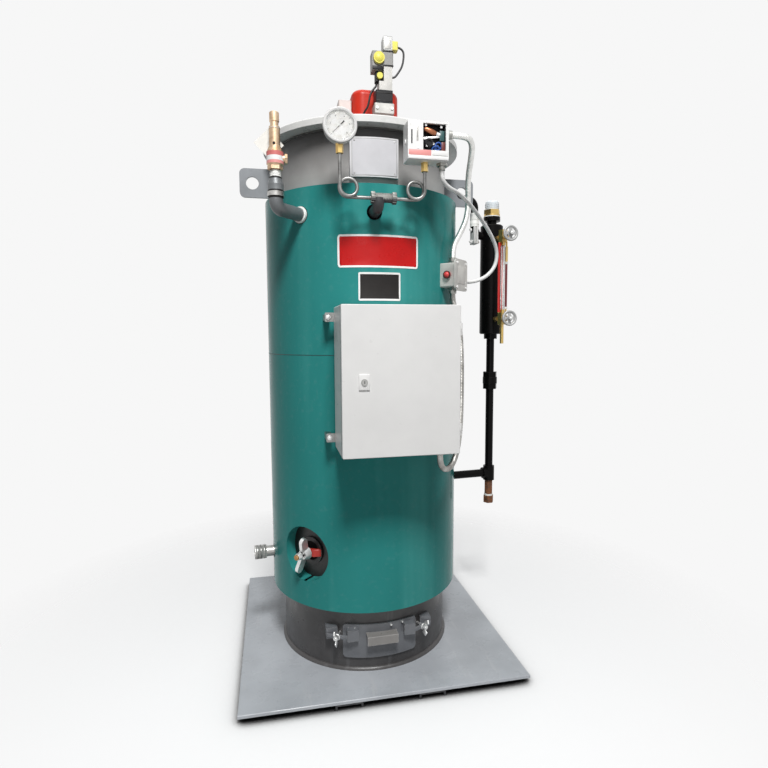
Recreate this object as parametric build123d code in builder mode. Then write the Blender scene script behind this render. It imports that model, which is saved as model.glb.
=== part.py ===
from build123d import *
import os
from math import atan2, cos, degrees, hypot, radians, sin, sqrt, tan

os.makedirs("parts", exist_ok=True)

# Vertical steam boiler. The origin is on the boiler's axis at floor level, +Z is up,
# the front with the control cabinet faces -Y. Lengths are millimetres, azimuths are
# degrees from the front, positive towards +X.

# Fits
cut_overrun = 20
seat_gap = 0.3
pipe_hole_gap = 8

# Base plate and its two channels
plate_side = 1092
plate_thickness = 12
plate_shift_x = 13
plate_shift_y = 30
plate_edge_chamfer = 2
skid_height = 20
skid_width = 100
skid_wall = 6
skid_spacing = 311

# Pressure vessel, skirt and top plate
vessel_radius = 352
vessel_wall = 10
skirt_height = 255
vessel_height = 1795
top_plate_overhang = 51
top_plate_thickness = 26
top_plate_chamfer = 5

# Insulating jacket
insulation = 48
jacket_sheet = 2
bare_shell_height = 208
jacket_seam_rise = 978
jacket_end_thickness = 3
seam_chamfer = 0.8

# Cleanout door in the skirt
door_azimuth = 1
door_rise = 120
door_width = 294
door_height = 134
door_thickness = 8
door_corner = 14
door_lap = 26
handle_rise = 156
handle_length = 121
handle_reach = 34
handle_leg = 34
handle_sheet = 5
lock_block_width = 44
lock_block_height = 44
lock_block_rise = 154
lock_block_reach = 30
lock_block_gap = 20
lock_block_corner = 4
door_block_inset = 34
door_block_reach = 26

# Handhole through the jacket
handhole_azimuth = -44.7
handhole_rise = 208
handhole_radius = 110
sleeve_wall = 3
neck_radius = 54
neck_wall = 16
neck_reach = 8
cover_thickness = 12
cover_sink = 8
cover_stud_radius = 9
cover_stud_length = 96
yoke_span = 100
yoke_width = 30
yoke_thickness = 14
yoke_rise = 12
yoke_edge = 3
sleeve_slit = 15
wing_hub_radius = 26
wing_hub_tip_radius = 18
wing_hub_length = 26
wing_start = 8
wing_reach = 56
wing_lift = 16
wing_width = 32
wing_thickness = 14
wing_turn = 12

# Lifting lugs
lug_reach = 148
lug_height = 115
lug_drop = 67
lug_thickness = 12
lug_hole_radius = 25.5
lug_hole_reach = 97
lug_corner = 22

# Nameplate bracket
bracket_width = 177
bracket_height = 138
bracket_shift = -10
bracket_drop = 40
bracket_reach = 18
bracket_sheet = 3

# Safety valve
safety_azimuth = -43
safety_drop = 98
safety_reach = 129
safety_pipe_radius = 24
safety_bend = 28
safety_band_radius = 28
safety_band_length = 15
safety_groove_radius = 22
safety_groove_length = 6
safety_elbow_rise = 32
safety_coupling_radius = 27
safety_coupling_length = 19
safety_neck_radius = 15
safety_neck_length = 30
safety_hex_flats = 46
safety_hex_length = 12
safety_flare_radius = 24
safety_flare_length = 6
safety_body_radius = 28.5
safety_body_length = 40
safety_cone_length = 22
safety_outlet_radius = 13
safety_outlet_reach = 42
safety_bonnet_radius = 18.5
safety_bonnet_length = 62
safety_waist_radius = 14
safety_waist_length = 18
safety_cap_radius = 16.5
safety_cap_length = 31
safety_cap_chamfer = 3

# Siphon with the pressure gauge and the pressure switch
siphon_reach = 72
siphon_drop = 70
siphon_tube_radius = 6
siphon_tee_radius = 14
siphon_tee_half = 44
siphon_nut_flats = 34
siphon_nut_length = 14
branch_x = -18
branch_radius = 20
branch_drop = 30
branch_bend = 22
gauge_loop_x = -122
switch_loop_x = 112
loop_radius = 29.5
loop_pitch = 16
loop_bend_share = 0.98
gauge_radius = 57
gauge_rise = 167
gauge_case_radius = 52
gauge_case_depth = 26
gauge_bezel_depth = 12
gauge_recess_depth = 9
gauge_rim = 7
gauge_round = 4
socket_flats = 22
gauge_socket_length = 32
switch_rise = 121
switch_socket_length = 30
switch_width = 143
switch_height = 128
switch_depth = 64
switch_wall = 3
switch_cover_depth = 10
switch_shift = 4
window_left_share = 0.37
window_right_share = 0.93
window_low_share = 0.26
window_high_share = 0.94
switch_corner = 4

# Junction box on the jacket
junction_azimuth = 46
junction_drop = 308
junction_width = 90
junction_height = 92
junction_depth = 60
junction_corner = 6
junction_cover_width = 108
junction_cover_height = 119
junction_cover_thickness = 7
junction_cover_corner = 16
lamp_radius = 13
lamp_length = 10

# Flexible conduits and the switch cable, with their glands
conduit_radius = 11
cable_radius = 7.5
bend_room_share = 0.45
gland_nut_flats = 34
gland_nut_length = 9
gland_neck_length = 13
gland_wall = 3.5
switch_gland_rise = 100
switch_gland_inset = 26
cable_gland_inset = 14
junction_cable_drop = 15
cabinet_gland_inset = 40
cabinet_gland_setback = 102
# Each cord's corners, as steps from the mouth of the gland that it leaves and of the one that it enters
upper_conduit_leaving = [
    (0, 0, 0), (36, 0, 0), (70, 11, -2), (93, 44, -16), (105, 90, -47), (114, 136, -83), (127, 179, -122),
]
upper_conduit_entering = [
    (71.7, 28.7, 215.7), (67.7, 38.7, 155.7), (39.7, 28.7, 100.7), (9.7, 7.7, 57.7), (0, 0, 27.7),
    (0, 0, 0),
]
lower_conduit_leaving = [
    (0, 0, 0), (0, 0, -25.7), (10.7, -3.3, -61.7), (28.7, -4.3, -127.7), (35.7, -7.3, -247.7),
]
lower_conduit_entering = [
    (151, 204, 195.3), (141, 181, 90.3), (122, 148, 11.3), (94, 106, -40.7), (59, 61, -66.7),
    (23, 22, -62.7), (0, 0, -32.7), (0, 0, 0),
]
switch_cable_leaving = [
    (0, 0, 0), (0, 0, -19.7), (9, 6, -38), (35, 23, -51), (74, 54, -55), (119, 101, -63),
    (171, 154, -82), (231, 209, -115),
]
switch_cable_entering = [
    (143.9, 26.3, 187), (180.9, 54.3, 131), (177.9, 61.3, 74), (143.9, 58.3, 32), (97.9, 54.3, 9),
    (51.9, 46.3, 1), (21.3, 22.1, 0), (0, 0, 0),
]

# Water column
column_azimuth = 95
column_reach = 218
column_radius = 51
column_low_drop = 534
column_top_drop = 39
column_neck_radius = 22
column_neck_length = 18
column_collar_radius = 38
column_collar_length = 19
column_foot_radius = 30
column_foot_length = 22
bushing_flats = 66
bushing_length = 20
tape_radius = 36
tape_length = 12
probe_radius = 31
probe_length = 40
probe_dome = 9
column_pipe_radius = 18
column_tee_drop = 1193
column_tee_radius = 26
column_tee_half = 34
union_drop = 750
union_flats = 58
union_length = 80
union_ring_radius = 33
union_ring_length = 30
drain_length = 110
drain_cap_flats = 42
drain_cap_length = 34
column_edge = 5
equalizer_radius = 17
equalizer_drop = 88
equalizer_rise = 159
equalizer_setback = 88
equalizer_bend = 36

# Gauge glass set on the water column
sight_reach = 128
upper_valve_drop = 108
lower_valve_drop = 466
valve_body_flats = 36
valve_body_length = 52
valve_stem_radius = 7
valve_nipple_radius = 11
wheel_reach = 204
wheel_radius = 33.5
wheel_rim_radius = 5
wheel_web = 4
wheel_slot_length = 17
wheel_slot_width = 8
wheel_slot_reach_share = 0.52
wheel_slots = 4
wheel_slot_azimuth = 45
wheel_slot_lean = 90
wheel_hub_radius = 9
wheel_hub_length = 15
glass_nut_flats = 20
glass_nut_length = 14
sight_radius = 8
guard_radius = 4
guard_spread = 17
cock_drop = 110
cock_radius = 8

# Blowdown nipple on the left
blowdown_azimuth = -84
blowdown_rise = 136
blowdown_radius = 22
blowdown_bore = 17
blowdown_reach = 80
blowdown_collar_radius = 28
blowdown_collar_length = 48

# Outlets on the back
steam_drop = 330
steam_radius = 30
steam_bore = 24
steam_reach = 120
flange_radius = 75
flange_thickness = 16
flange_bolt_radius = 9
flange_bolt_reach = 55
flange_bolts = 4
feed_rise = 420
feed_radius = 24
feed_bore = 17
feed_reach = 80
back_azimuth = 180
flue_drop = 130
flue_radius = 100
flue_wall = 4
flue_reach = 110
flue_bead = 4

# Burner and gas valve on the top plate
burner_x = 58
burner_y = 20
burner_flange_side = 190
burner_flange_thickness = 14
burner_flange_corner = 14
burner_neck_radius = 72
burner_neck_length = 36
housing_width = 197
housing_depth = 150
housing_height = 188
housing_round = 48
control_width = 54
control_height = 86
control_depth = 90
control_drop = 43
control_corner = 6
gas_y = -104
gas_x = 92
gas_pipe_radius = 17
gas_pipe_drop = 100
gas_flange_width = 80
gas_flange_height = 38
gas_flange_depth = 62
gas_coil_width = 69
gas_coil_height = 51
gas_coil_depth = 60
gas_body_width = 34
gas_body_height = 95
gas_body_depth = 48
gas_block_width = 43
gas_block_height = 56
gas_top_width = 36
gas_top_height = 57
gas_edge = 4
gas_seat_shift = -16
gas_foot_shift = -10
gas_foot_width = 52
gas_foot_height = 36
cap_block_width = 42
cap_block_height = 72
cap_block_drop = 2
cap_inset = 16
cap_drop = 30
plug_width = 32
plug_height = 38
plug_depth = 30
plug_rise = 38
cap_radius = 22
plug_cap_radius = 12
cap_length = 10
side_plug_width = 25
side_plug_height = 32
lead_radius = 4
lead_entry_reach = 56
lead_entry_rise = 78
lead_exit_rise = 62
plug_lead_inset = 10
valve_lead_leaving = [(0, 0, 0), (0, 0, -7), (-3, 0, -15.5), (-9, -1, -22.5), (-25, -2, -42)]
valve_lead_entering = [(14, -44.7, 19), (2, -30.7, 5), (0, -16.7, 0), (0, 0, 0)]
switch_lead_leaving = [
    (0, 0, 0), (7, 0, 0), (15.5, 0, -3.5), (22, -1, -10), (25.5, -2, -18.5), (26, -2, -34), (23.5, -2, -55),
    (17, -2, -76),
]
switch_lead_entering = [(32, -1, 24), (22, 0, 10), (15.5, 0, 3.5), (7, 0, 0), (0, 0, 0)]

# Control cabinet
cabinet_width = 400
cabinet_height = 500
cabinet_depth = 180
cabinet_shift = 30
cabinet_rise = 650
cabinet_standoff = 20
cabinet_wall = 2
cabinet_rim = 14
cabinet_edge = 5
panel_depth = 20
panel_wall = 2
hinge_radius = 5
hinge_offset = 7
hinge_height = 40
hinge_leaf = 4
hinge_leaf_reach = 18
hinge_inset = 80
lock_inset = 73
lock_side = 26
lock_plate = 4
lock_radius = 9
lock_length = 5
ear_length = 46
ear_width = 32
ear_thickness = 4
ear_inset = 35
ear_overlap = 14
standoff_bar = 22
backplate_margin = 24
backplate_thickness = 3
backplate_post_radius = 5
backplate_post_length = 12

# Heights and places that follow from the sizes above
plate_top = skid_height + plate_thickness
jacket_radius = vessel_radius + insulation
top_plate_radius = vessel_radius + top_plate_overhang
jacket_bottom = plate_top + skirt_height
vessel_top = jacket_bottom + vessel_height
jacket_top = vessel_top - bare_shell_height
roof_top = vessel_top + top_plate_thickness
door_mid = plate_top + door_rise
door_radius = vessel_radius + seat_gap + door_thickness
handhole_mid = jacket_bottom + handhole_rise
siphon_y = -(jacket_radius + siphon_reach)
siphon_z = jacket_top - siphon_drop
safety_z = jacket_top - safety_drop
safety_r = jacket_radius + safety_reach
column_r = jacket_radius + column_reach
column_x = column_r * sin(radians(column_azimuth))
column_y = -column_r * cos(radians(column_azimuth))
column_low = jacket_top - column_low_drop
column_top = jacket_top - column_top_drop
cabinet_back = -(jacket_radius + cabinet_standoff)
cabinet_front = cabinet_back - cabinet_depth
cabinet_low = jacket_bottom + cabinet_rise
cabinet_mid = cabinet_low + cabinet_height / 2


def save(builder, name):
    """Labels a finished piece and writes its STEP file."""
    builder.part.label = name
    export_step(builder.part, f"parts/{name}.step")


def radial_plane(azimuth, height, radius=0):
    """Plane that faces outward from the axis at an azimuth, with its Y axis up."""
    turn = radians(azimuth)
    return Plane(
        origin=(radius * sin(turn), -radius * cos(turn), height),
        x_dir=(cos(turn), sin(turn), 0),
        z_dir=(sin(turn), -cos(turn), 0),
    )


def upright_plane(x, y, z):
    """Level plane at a point, facing up."""
    return Plane(origin=(x, y, z), x_dir=(1, 0, 0), z_dir=(0, 0, 1))


def front_plane(x, y, z):
    """Upright plane at a point, facing the front."""
    return Plane(origin=(x, y, z), x_dir=(1, 0, 0), z_dir=(0, -1, 0))


def turned(base, steps, bore=0, mode=Mode.ADD):
    """Turns a round solid about a plane's normal from (radius, length) or (low, high, length) steps."""
    outline = [(bore, 0)]
    height = 0
    for *radii, length in steps:
        if outline[-1] != (radii[0], height):
            outline.append((radii[0], height))
        height += length
        outline.append((radii[-1], height))
    outline.append((bore, height))
    side = Plane(origin=base.origin, x_dir=base.x_dir, z_dir=-base.y_dir)
    with BuildSketch(side) as half:
        with BuildLine():
            Polyline(*outline, close=True)
        make_face()
    revolve(half.sketch, axis=Axis(base.origin, base.z_dir), mode=mode)


def hexagon(base, flats, length, bore=0):
    """Adds a six-sided bar on a plane, measured across its flats."""
    with BuildSketch(base) as section:
        RegularPolygon(flats / 2, 6, major_radius=False)
        if bore:
            Circle(bore, mode=Mode.SUBTRACT)
    extrude(section.sketch, amount=length)


def block(base, width, height, length, mode=Mode.ADD):
    """Adds a rectangular bar centred on a plane."""
    with BuildSketch(base) as section:
        Rectangle(width, height)
    extrude(section.sketch, amount=length, mode=mode)


def rounded_block(base, width, height, length, corner, mode=Mode.ADD):
    """Adds a bar with rounded corners centred on a plane."""
    with BuildSketch(base) as section:
        RectangleRounded(width, height, corner)
    extrude(section.sketch, amount=length, mode=mode)


def tube(points, bends, radius):
    """Sweeps a round tube along straight runs joined by tangent arcs."""
    with BuildLine() as route:
        FilletPolyline(*points, radius=bends)
    start = Plane(origin=route.line @ 0, z_dir=route.line % 0)
    with BuildSketch(start) as section:
        Circle(radius)
    sweep(section.sketch, path=route.line)


def cut_core(radius):
    """Cuts the round core of the boiler out of a piece, so that it seats on that radius."""
    with BuildSketch(Plane.XY) as section:
        Circle(radius)
    extrude(section.sketch, amount=roof_top, mode=Mode.SUBTRACT)


def drill(azimuth, height, radius):
    """Drills a radial hole from the axis outwards."""
    with BuildSketch(radial_plane(azimuth, height)) as section:
        Circle(radius)
    extrude(section.sketch, amount=jacket_radius + cut_overrun, mode=Mode.SUBTRACT)


# Base plate
with BuildPart() as base_plate:
    with BuildSketch(Plane.XY.offset(skid_height)):
        with Locations((plate_shift_x, plate_shift_y)):
            Rectangle(plate_side, plate_side)
    extrude(amount=plate_thickness)
    chamfer(base_plate.edges().group_by(Axis.Z)[-1], plate_edge_chamfer)
save(base_plate, "base_plate")

# Two channels under the plate, flanges down
with BuildPart() as skid_channels:
    with BuildSketch(Plane.XZ.offset(plate_side / 2 - plate_shift_y)):
        with Locations((plate_shift_x, skid_height / 2)):
            with GridLocations(skid_spacing, 0, 2, 1):
                Rectangle(skid_width, skid_height)
        with Locations((plate_shift_x, (skid_height - skid_wall) / 2)):
            with GridLocations(skid_spacing, 0, 2, 1):
                Rectangle(skid_width - 2 * skid_wall, skid_height - skid_wall, mode=Mode.SUBTRACT)
    extrude(amount=-plate_side)
save(skid_channels, "skid_channels")

# Skirt with the cleanout opening
with BuildPart() as skirt:
    with BuildSketch(Plane.XY.offset(plate_top)):
        Circle(vessel_radius)
        Circle(vessel_radius - vessel_wall, mode=Mode.SUBTRACT)
    extrude(amount=skirt_height)
    rounded_block(
        radial_plane(door_azimuth, door_mid), door_width - 2 * door_lap, door_height - 2 * door_lap,
        vessel_radius + cut_overrun, door_corner, Mode.SUBTRACT,
    )
save(skirt, "skirt")

# Curved cleanout door with a block at each end for its clamp bolts
door_plane = radial_plane(door_azimuth, door_mid)
block_z = plate_top + lock_block_rise


def clamp_block(offset, seat_radius, reach):
    """Adds a clamp block beside the door's middle plane, standing off a round face."""
    face = sqrt(seat_radius**2 - offset**2) + reach
    base = Plane(
        origin=door_plane.from_local_coords((offset, block_z - door_mid, 0)),
        x_dir=door_plane.x_dir,
        z_dir=door_plane.z_dir,
    )
    rounded_block(base, lock_block_width, lock_block_height, face, lock_block_corner)


with BuildPart() as cleanout_door:
    with BuildSketch(Plane.XY.offset(door_mid - door_height / 2)):
        Circle(door_radius)
        Circle(vessel_radius + seat_gap, mode=Mode.SUBTRACT)
    extrude(amount=door_height)
    door_reach = door_radius + cut_overrun
    rounded_block(door_plane, door_width, door_height, door_reach, door_corner, Mode.INTERSECT)
    for side in (-1, 1):
        clamp_block(side * (door_width / 2 - door_block_inset), door_radius, door_block_reach)
    cut_core(vessel_radius + seat_gap)
save(cleanout_door, "cleanout_door")

# Angle-iron handle of the cleanout door
with BuildPart() as cleanout_handle:
    handle_low = plate_top + handle_rise - handle_leg
    handle_face = door_radius + handle_reach
    handle_mid = Plane(
        origin=door_plane.from_local_coords((0, handle_low + handle_leg / 2 - door_mid, 0)),
        x_dir=door_plane.x_dir,
        z_dir=door_plane.z_dir,
    )
    block(handle_mid, handle_length, handle_leg, handle_face)
    palm_space = Plane(
        origin=handle_mid.from_local_coords((0, -handle_sheet, 0)),
        x_dir=handle_mid.x_dir,
        z_dir=handle_mid.z_dir,
    )
    block(palm_space, handle_length, handle_leg, handle_face - handle_sheet, Mode.SUBTRACT)
    cut_core(door_radius + seat_gap)
    fillet(cleanout_handle.faces().sort_by(Axis.Y)[0].edges().group_by(Axis.Z)[-1], handle_sheet / 2)
save(cleanout_handle, "cleanout_handle")

# Clamp blocks on the skirt beside the door
with BuildPart() as cleanout_clamps:
    for side in (-1, 1):
        clamp_x = side * (door_width / 2 + lock_block_gap + lock_block_width / 2)
        clamp_block(clamp_x, vessel_radius, lock_block_reach)
    cut_core(vessel_radius + seat_gap)
save(cleanout_clamps, "cleanout_clamps")

# Pressure vessel above the skirt, with the handhole's neck
handhole_plane = radial_plane(handhole_azimuth, handhole_mid)
neck_face = vessel_radius + neck_reach
with BuildPart() as vessel_shell:
    with BuildSketch(handhole_plane):
        Circle(neck_radius)
    extrude(amount=neck_face)
    with BuildSketch(Plane.XY.offset(jacket_bottom)):
        Circle(vessel_radius)
    extrude(amount=vessel_height)
    with BuildSketch(Plane.XY.offset(jacket_bottom)):
        Circle(vessel_radius - vessel_wall)
    extrude(amount=vessel_height, mode=Mode.SUBTRACT)
    with BuildSketch(handhole_plane):
        Circle(neck_radius - neck_wall)
    extrude(amount=jacket_radius, mode=Mode.SUBTRACT)
save(vessel_shell, "vessel_shell")

# Top plate with its overhanging rim
with BuildPart() as top_plate:
    with BuildSketch(Plane.XY.offset(vessel_top)):
        Circle(top_plate_radius)
    extrude(amount=top_plate_thickness)
    chamfer(top_plate.edges().group_by(Axis.Z)[-1], top_plate_chamfer)
save(top_plate, "top_plate")

# Jacket sheets with their pipe holes
sheet_low = jacket_bottom + jacket_end_thickness
sheet_high = jacket_top - jacket_end_thickness
seam_z = jacket_bottom + jacket_seam_rise
with BuildPart() as lower_jacket:
    with BuildSketch(Plane.XY.offset(sheet_low)):
        Circle(jacket_radius)
        Circle(jacket_radius - jacket_sheet, mode=Mode.SUBTRACT)
    extrude(amount=seam_z - sheet_low)
    outer_edges = lower_jacket.edges().filter_by(GeomType.CIRCLE).sort_by(SortBy.RADIUS)[-2:]
    chamfer(outer_edges.sort_by(Axis.Z)[-1], seam_chamfer)
    drill(handhole_azimuth, handhole_mid, handhole_radius)
    drill(blowdown_azimuth, jacket_bottom + blowdown_rise, blowdown_radius + pipe_hole_gap)
    drill(column_azimuth, jacket_top - column_tee_drop, column_pipe_radius + pipe_hole_gap)
    drill(back_azimuth, jacket_bottom + feed_rise, feed_radius + pipe_hole_gap)
save(lower_jacket, "lower_jacket")

with BuildPart() as upper_jacket:
    with BuildSketch(Plane.XY.offset(seam_z)):
        Circle(jacket_radius)
        Circle(jacket_radius - jacket_sheet, mode=Mode.SUBTRACT)
    extrude(amount=sheet_high - seam_z)
    outer_edges = upper_jacket.edges().filter_by(GeomType.CIRCLE).sort_by(SortBy.RADIUS)[-2:]
    chamfer(outer_edges.sort_by(Axis.Z)[0], seam_chamfer)
    drill(safety_azimuth, safety_z, safety_pipe_radius + pipe_hole_gap)
    with BuildSketch(front_plane(branch_x, 0, siphon_z - branch_drop)) as branch_hole:
        Circle(branch_radius + pipe_hole_gap)
    extrude(branch_hole.sketch, amount=jacket_radius + cut_overrun, mode=Mode.SUBTRACT)
    drill(back_azimuth, jacket_top - steam_drop, steam_radius + pipe_hole_gap)
    drill(back_azimuth, jacket_top - flue_drop, flue_radius + seat_gap)
save(upper_jacket, "upper_jacket")

# Rings that close the jacket below and above
with BuildPart() as jacket_ends:
    for low in (jacket_bottom, sheet_high):
        with BuildSketch(Plane.XY.offset(low)):
            Circle(jacket_radius)
            Circle(vessel_radius + seat_gap, mode=Mode.SUBTRACT)
        extrude(amount=jacket_end_thickness)
save(jacket_ends, "jacket_ends")

# Sleeve that lines the handhole opening
with BuildPart() as handhole_sleeve:
    with BuildSketch(handhole_plane):
        Circle(handhole_radius - seat_gap)
        Circle(handhole_radius - seat_gap - sleeve_wall, mode=Mode.SUBTRACT)
    extrude(amount=jacket_radius + cut_overrun)
    cut_core(vessel_radius + seat_gap)
    with BuildSketch(Plane.XY.offset(jacket_bottom)):
        Circle(jacket_radius)
    extrude(amount=jacket_top - jacket_bottom, mode=Mode.INTERSECT)
    slit_plane = Plane(
        origin=handhole_plane.from_local_coords((0, -handhole_radius, 0)),
        x_dir=handhole_plane.x_dir,
        z_dir=handhole_plane.z_dir,
    )
    block(slit_plane, sleeve_slit, handhole_radius, jacket_radius + cut_overrun, Mode.SUBTRACT)
save(handhole_sleeve, "handhole_sleeve")

# Handhole cover with its stud, yoke and wing nut
cover_face = neck_face - cover_sink
with BuildPart() as handhole_cover:
    cover_steps = [
        (neck_radius - neck_wall - seat_gap, cover_thickness),
        (cover_stud_radius, cover_stud_length),
    ]
    turned(handhole_plane.offset(cover_face - cover_thickness), cover_steps)
save(handhole_cover, "handhole_cover")

with BuildPart() as handhole_yoke:
    yoke_plane = Plane(
        origin=handhole_plane.origin, x_dir=handhole_plane.x_dir, z_dir=-handhole_plane.y_dir
    )
    yoke_top = neck_face + seat_gap + yoke_rise + yoke_thickness
    foot = neck_face + seat_gap
    with BuildSketch(yoke_plane.offset(-yoke_width / 2)) as yoke_side:
        with BuildLine():
            outer_left = (-yoke_span / 2, foot)
            outer_right = (yoke_span / 2, foot)
            inner_left = (-yoke_span / 2 + yoke_thickness, foot)
            inner_right = (yoke_span / 2 - yoke_thickness, foot)
            ThreePointArc(outer_left, (0, yoke_top), outer_right)
            Line(outer_right, inner_right)
            ThreePointArc(inner_right, (0, yoke_top - yoke_thickness), inner_left)
            Line(inner_left, outer_left)
        make_face()
    extrude(yoke_side.sketch, amount=yoke_width)
    arch_edges = handhole_yoke.edges().filter_by(GeomType.CIRCLE).sort_by(SortBy.LENGTH)[-2:]
    fillet(arch_edges, yoke_edge)
    with BuildSketch(handhole_plane) as stud_hole:
        Circle(cover_stud_radius + seat_gap)
    extrude(stud_hole.sketch, amount=jacket_radius, mode=Mode.SUBTRACT)
save(handhole_yoke, "handhole_yoke")

with BuildPart() as handhole_wing_nut:
    nut_plane = handhole_plane.offset(yoke_top + seat_gap)
    turned(nut_plane, [(wing_hub_radius, wing_hub_tip_radius, wing_hub_length)])
    turn = radians(wing_turn)
    wing_way = nut_plane.y_dir * cos(turn) + nut_plane.x_dir * sin(turn)
    wing_slope = atan2(wing_lift, wing_reach - wing_start)
    for side in (-1, 1):
        paddle_plane = Plane(
            origin=nut_plane.origin,
            x_dir=wing_way * side,
            z_dir=wing_way.cross(nut_plane.z_dir) * side,
        )
        with BuildSketch(paddle_plane.offset(-wing_thickness / 2)) as paddle:
            with Locations(((wing_start + wing_reach) / 2, (wing_width + wing_lift) / 2)):
                SlotCenterToCenter(
                    hypot(wing_reach - wing_start, wing_lift), wing_width, rotation=degrees(wing_slope)
                )
        extrude(paddle.sketch, amount=wing_thickness)
    turned(
        nut_plane, [(cover_stud_radius + seat_gap, wing_width + wing_lift)], mode=Mode.SUBTRACT
    )
save(handhole_wing_nut, "handhole_wing_nut")

# Lifting lugs on both sides
lug_mid = vessel_top - lug_drop - lug_height / 2
with BuildPart() as lifting_lugs:
    with BuildSketch(Plane.XZ.offset(-lug_thickness / 2)):
        with Locations((0, lug_mid)):
            RectangleRounded(2 * (vessel_radius + lug_reach), lug_height, lug_corner)
            with GridLocations(2 * (vessel_radius + lug_hole_reach), 0, 2, 1):
                Circle(lug_hole_radius, mode=Mode.SUBTRACT)
    extrude(amount=lug_thickness)
    cut_core(vessel_radius + seat_gap)
save(lifting_lugs, "lifting_lugs")

# Stand-off bracket of the nameplate, bent round with the vessel
bracket_radius = vessel_radius + bracket_reach
bracket_low = vessel_top - bracket_drop - bracket_height
with BuildPart() as nameplate_bracket:
    for radius, width, mode in (
        (bracket_radius, bracket_width, Mode.ADD),
        (bracket_radius - bracket_sheet, bracket_width - 2 * bracket_sheet, Mode.SUBTRACT),
    ):
        with BuildSketch(Plane.XY.offset(bracket_low)) as bracket_outline:
            Circle(radius)
            with Locations((bracket_shift, -radius / 2)):
                Rectangle(width, radius, mode=Mode.INTERSECT)
        extrude(bracket_outline.sketch, amount=bracket_height, mode=mode)
    cut_core(vessel_radius + seat_gap)
save(nameplate_bracket, "nameplate_bracket")

# Safety valve on its elbow
safety_plane = radial_plane(safety_azimuth, safety_z)
elbow_top = safety_z + safety_elbow_rise
safety_axis = radial_plane(safety_azimuth, 0, safety_r).origin
with BuildPart() as safety_pipe:
    pipe_route = [
        safety_plane.from_local_coords((0, 0, vessel_radius + seat_gap)),
        safety_plane.from_local_coords((0, 0, safety_r)),
        safety_plane.from_local_coords((0, safety_elbow_rise, safety_r)),
    ]
    tube(pipe_route, safety_bend, safety_pipe_radius)
    turned(
        upright_plane(safety_axis.X, safety_axis.Y, elbow_top),
        [
            (safety_groove_radius, safety_groove_length),
            (safety_band_radius, safety_band_length),
            (safety_groove_radius, safety_groove_length),
            (safety_coupling_radius, safety_coupling_length),
            (safety_coupling_radius, safety_groove_radius, safety_coupling_length),
            (safety_neck_radius, safety_neck_length),
        ],
    )
save(safety_pipe, "safety_pipe")

valve_low = (
    elbow_top + 2 * safety_groove_length + safety_band_length
    + 2 * safety_coupling_length + safety_neck_length
)
with BuildPart() as safety_valve:
    valve_base = upright_plane(safety_axis.X, safety_axis.Y, valve_low)
    hexagon(valve_base, safety_hex_flats, safety_hex_length)
    turned(
        valve_base.offset(safety_hex_length),
        [
            (safety_flare_radius, safety_body_radius, safety_flare_length),
            (safety_body_radius, safety_body_length),
            (safety_body_radius, safety_bonnet_radius, safety_cone_length),
        ],
    )
    outlet_mid = valve_low + safety_hex_length + safety_flare_length + safety_body_length / 2
    outlet_plane = Plane(
        origin=(safety_axis.X, safety_axis.Y, outlet_mid), x_dir=(0, 0, 1), z_dir=(1, 0, 0)
    )
    turned(outlet_plane, [(safety_outlet_radius, safety_outlet_reach)])
save(safety_valve, "safety_valve")

bonnet_low = (
    valve_low + safety_hex_length + safety_flare_length + safety_body_length + safety_cone_length
)
with BuildPart() as safety_bonnet:
    turned(
        upright_plane(safety_axis.X, safety_axis.Y, bonnet_low),
        [
            (safety_bonnet_radius, safety_bonnet_length),
            (safety_waist_radius, safety_waist_length),
            (safety_cap_radius, safety_cap_length),
        ],
    )
    chamfer(safety_bonnet.edges().group_by(Axis.Z)[-1], safety_cap_chamfer)
save(safety_bonnet, "safety_bonnet")

# Siphon tee with its branch into the jacket
with BuildPart() as siphon_tee:
    tee_plane = Plane(origin=(-siphon_tee_half, siphon_y, siphon_z), x_dir=(0, 0, 1), z_dir=(1, 0, 0))
    hexagon(tee_plane, siphon_nut_flats, siphon_nut_length)
    turned(tee_plane, [(siphon_tee_radius, 2 * siphon_tee_half)])
    hexagon(tee_plane.offset(2 * siphon_tee_half - siphon_nut_length), siphon_nut_flats, siphon_nut_length)
    branch_end = -sqrt((vessel_radius + seat_gap) ** 2 - (abs(branch_x) - branch_radius) ** 2)
    branch_route = [
        (branch_x, siphon_y, siphon_z),
        (branch_x, siphon_y, siphon_z - branch_drop),
        (branch_x, branch_end, siphon_z - branch_drop),
    ]
    tube(branch_route, branch_bend, branch_radius)
    cut_core(vessel_radius + seat_gap)
save(siphon_tee, "siphon_tee")


def pigtail(loop_x, side, rise):
    """Adds a siphon tube: out from the tee, once round a loop, then up to a socket."""
    low = siphon_z
    high = siphon_z + 2 * loop_radius
    near = loop_x - side * loop_radius
    far = loop_x + side * loop_radius
    step = loop_pitch / 4
    route = [
        (side * siphon_tee_half, siphon_y, low),
        (far, siphon_y, low),
        (far, siphon_y - step, high),
        (near, siphon_y - 2 * step, high),
        (near, siphon_y - 3 * step, low),
        (far, siphon_y - loop_pitch, low),
        (far, siphon_y - loop_pitch, siphon_z + rise),
    ]
    bend = loop_radius * loop_bend_share
    tube(route, bend, siphon_tube_radius)


gauge_x = gauge_loop_x - loop_radius
switch_x = switch_loop_x + loop_radius
fitting_y = siphon_y - loop_pitch
gauge_z = siphon_z + gauge_rise + gauge_case_radius
switch_low = siphon_z + switch_rise
with BuildPart() as siphon_tubes:
    pigtail(gauge_loop_x, -1, gauge_rise - gauge_socket_length)
    pigtail(switch_loop_x, 1, switch_rise - switch_socket_length)
save(siphon_tubes, "siphon_tubes")

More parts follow.
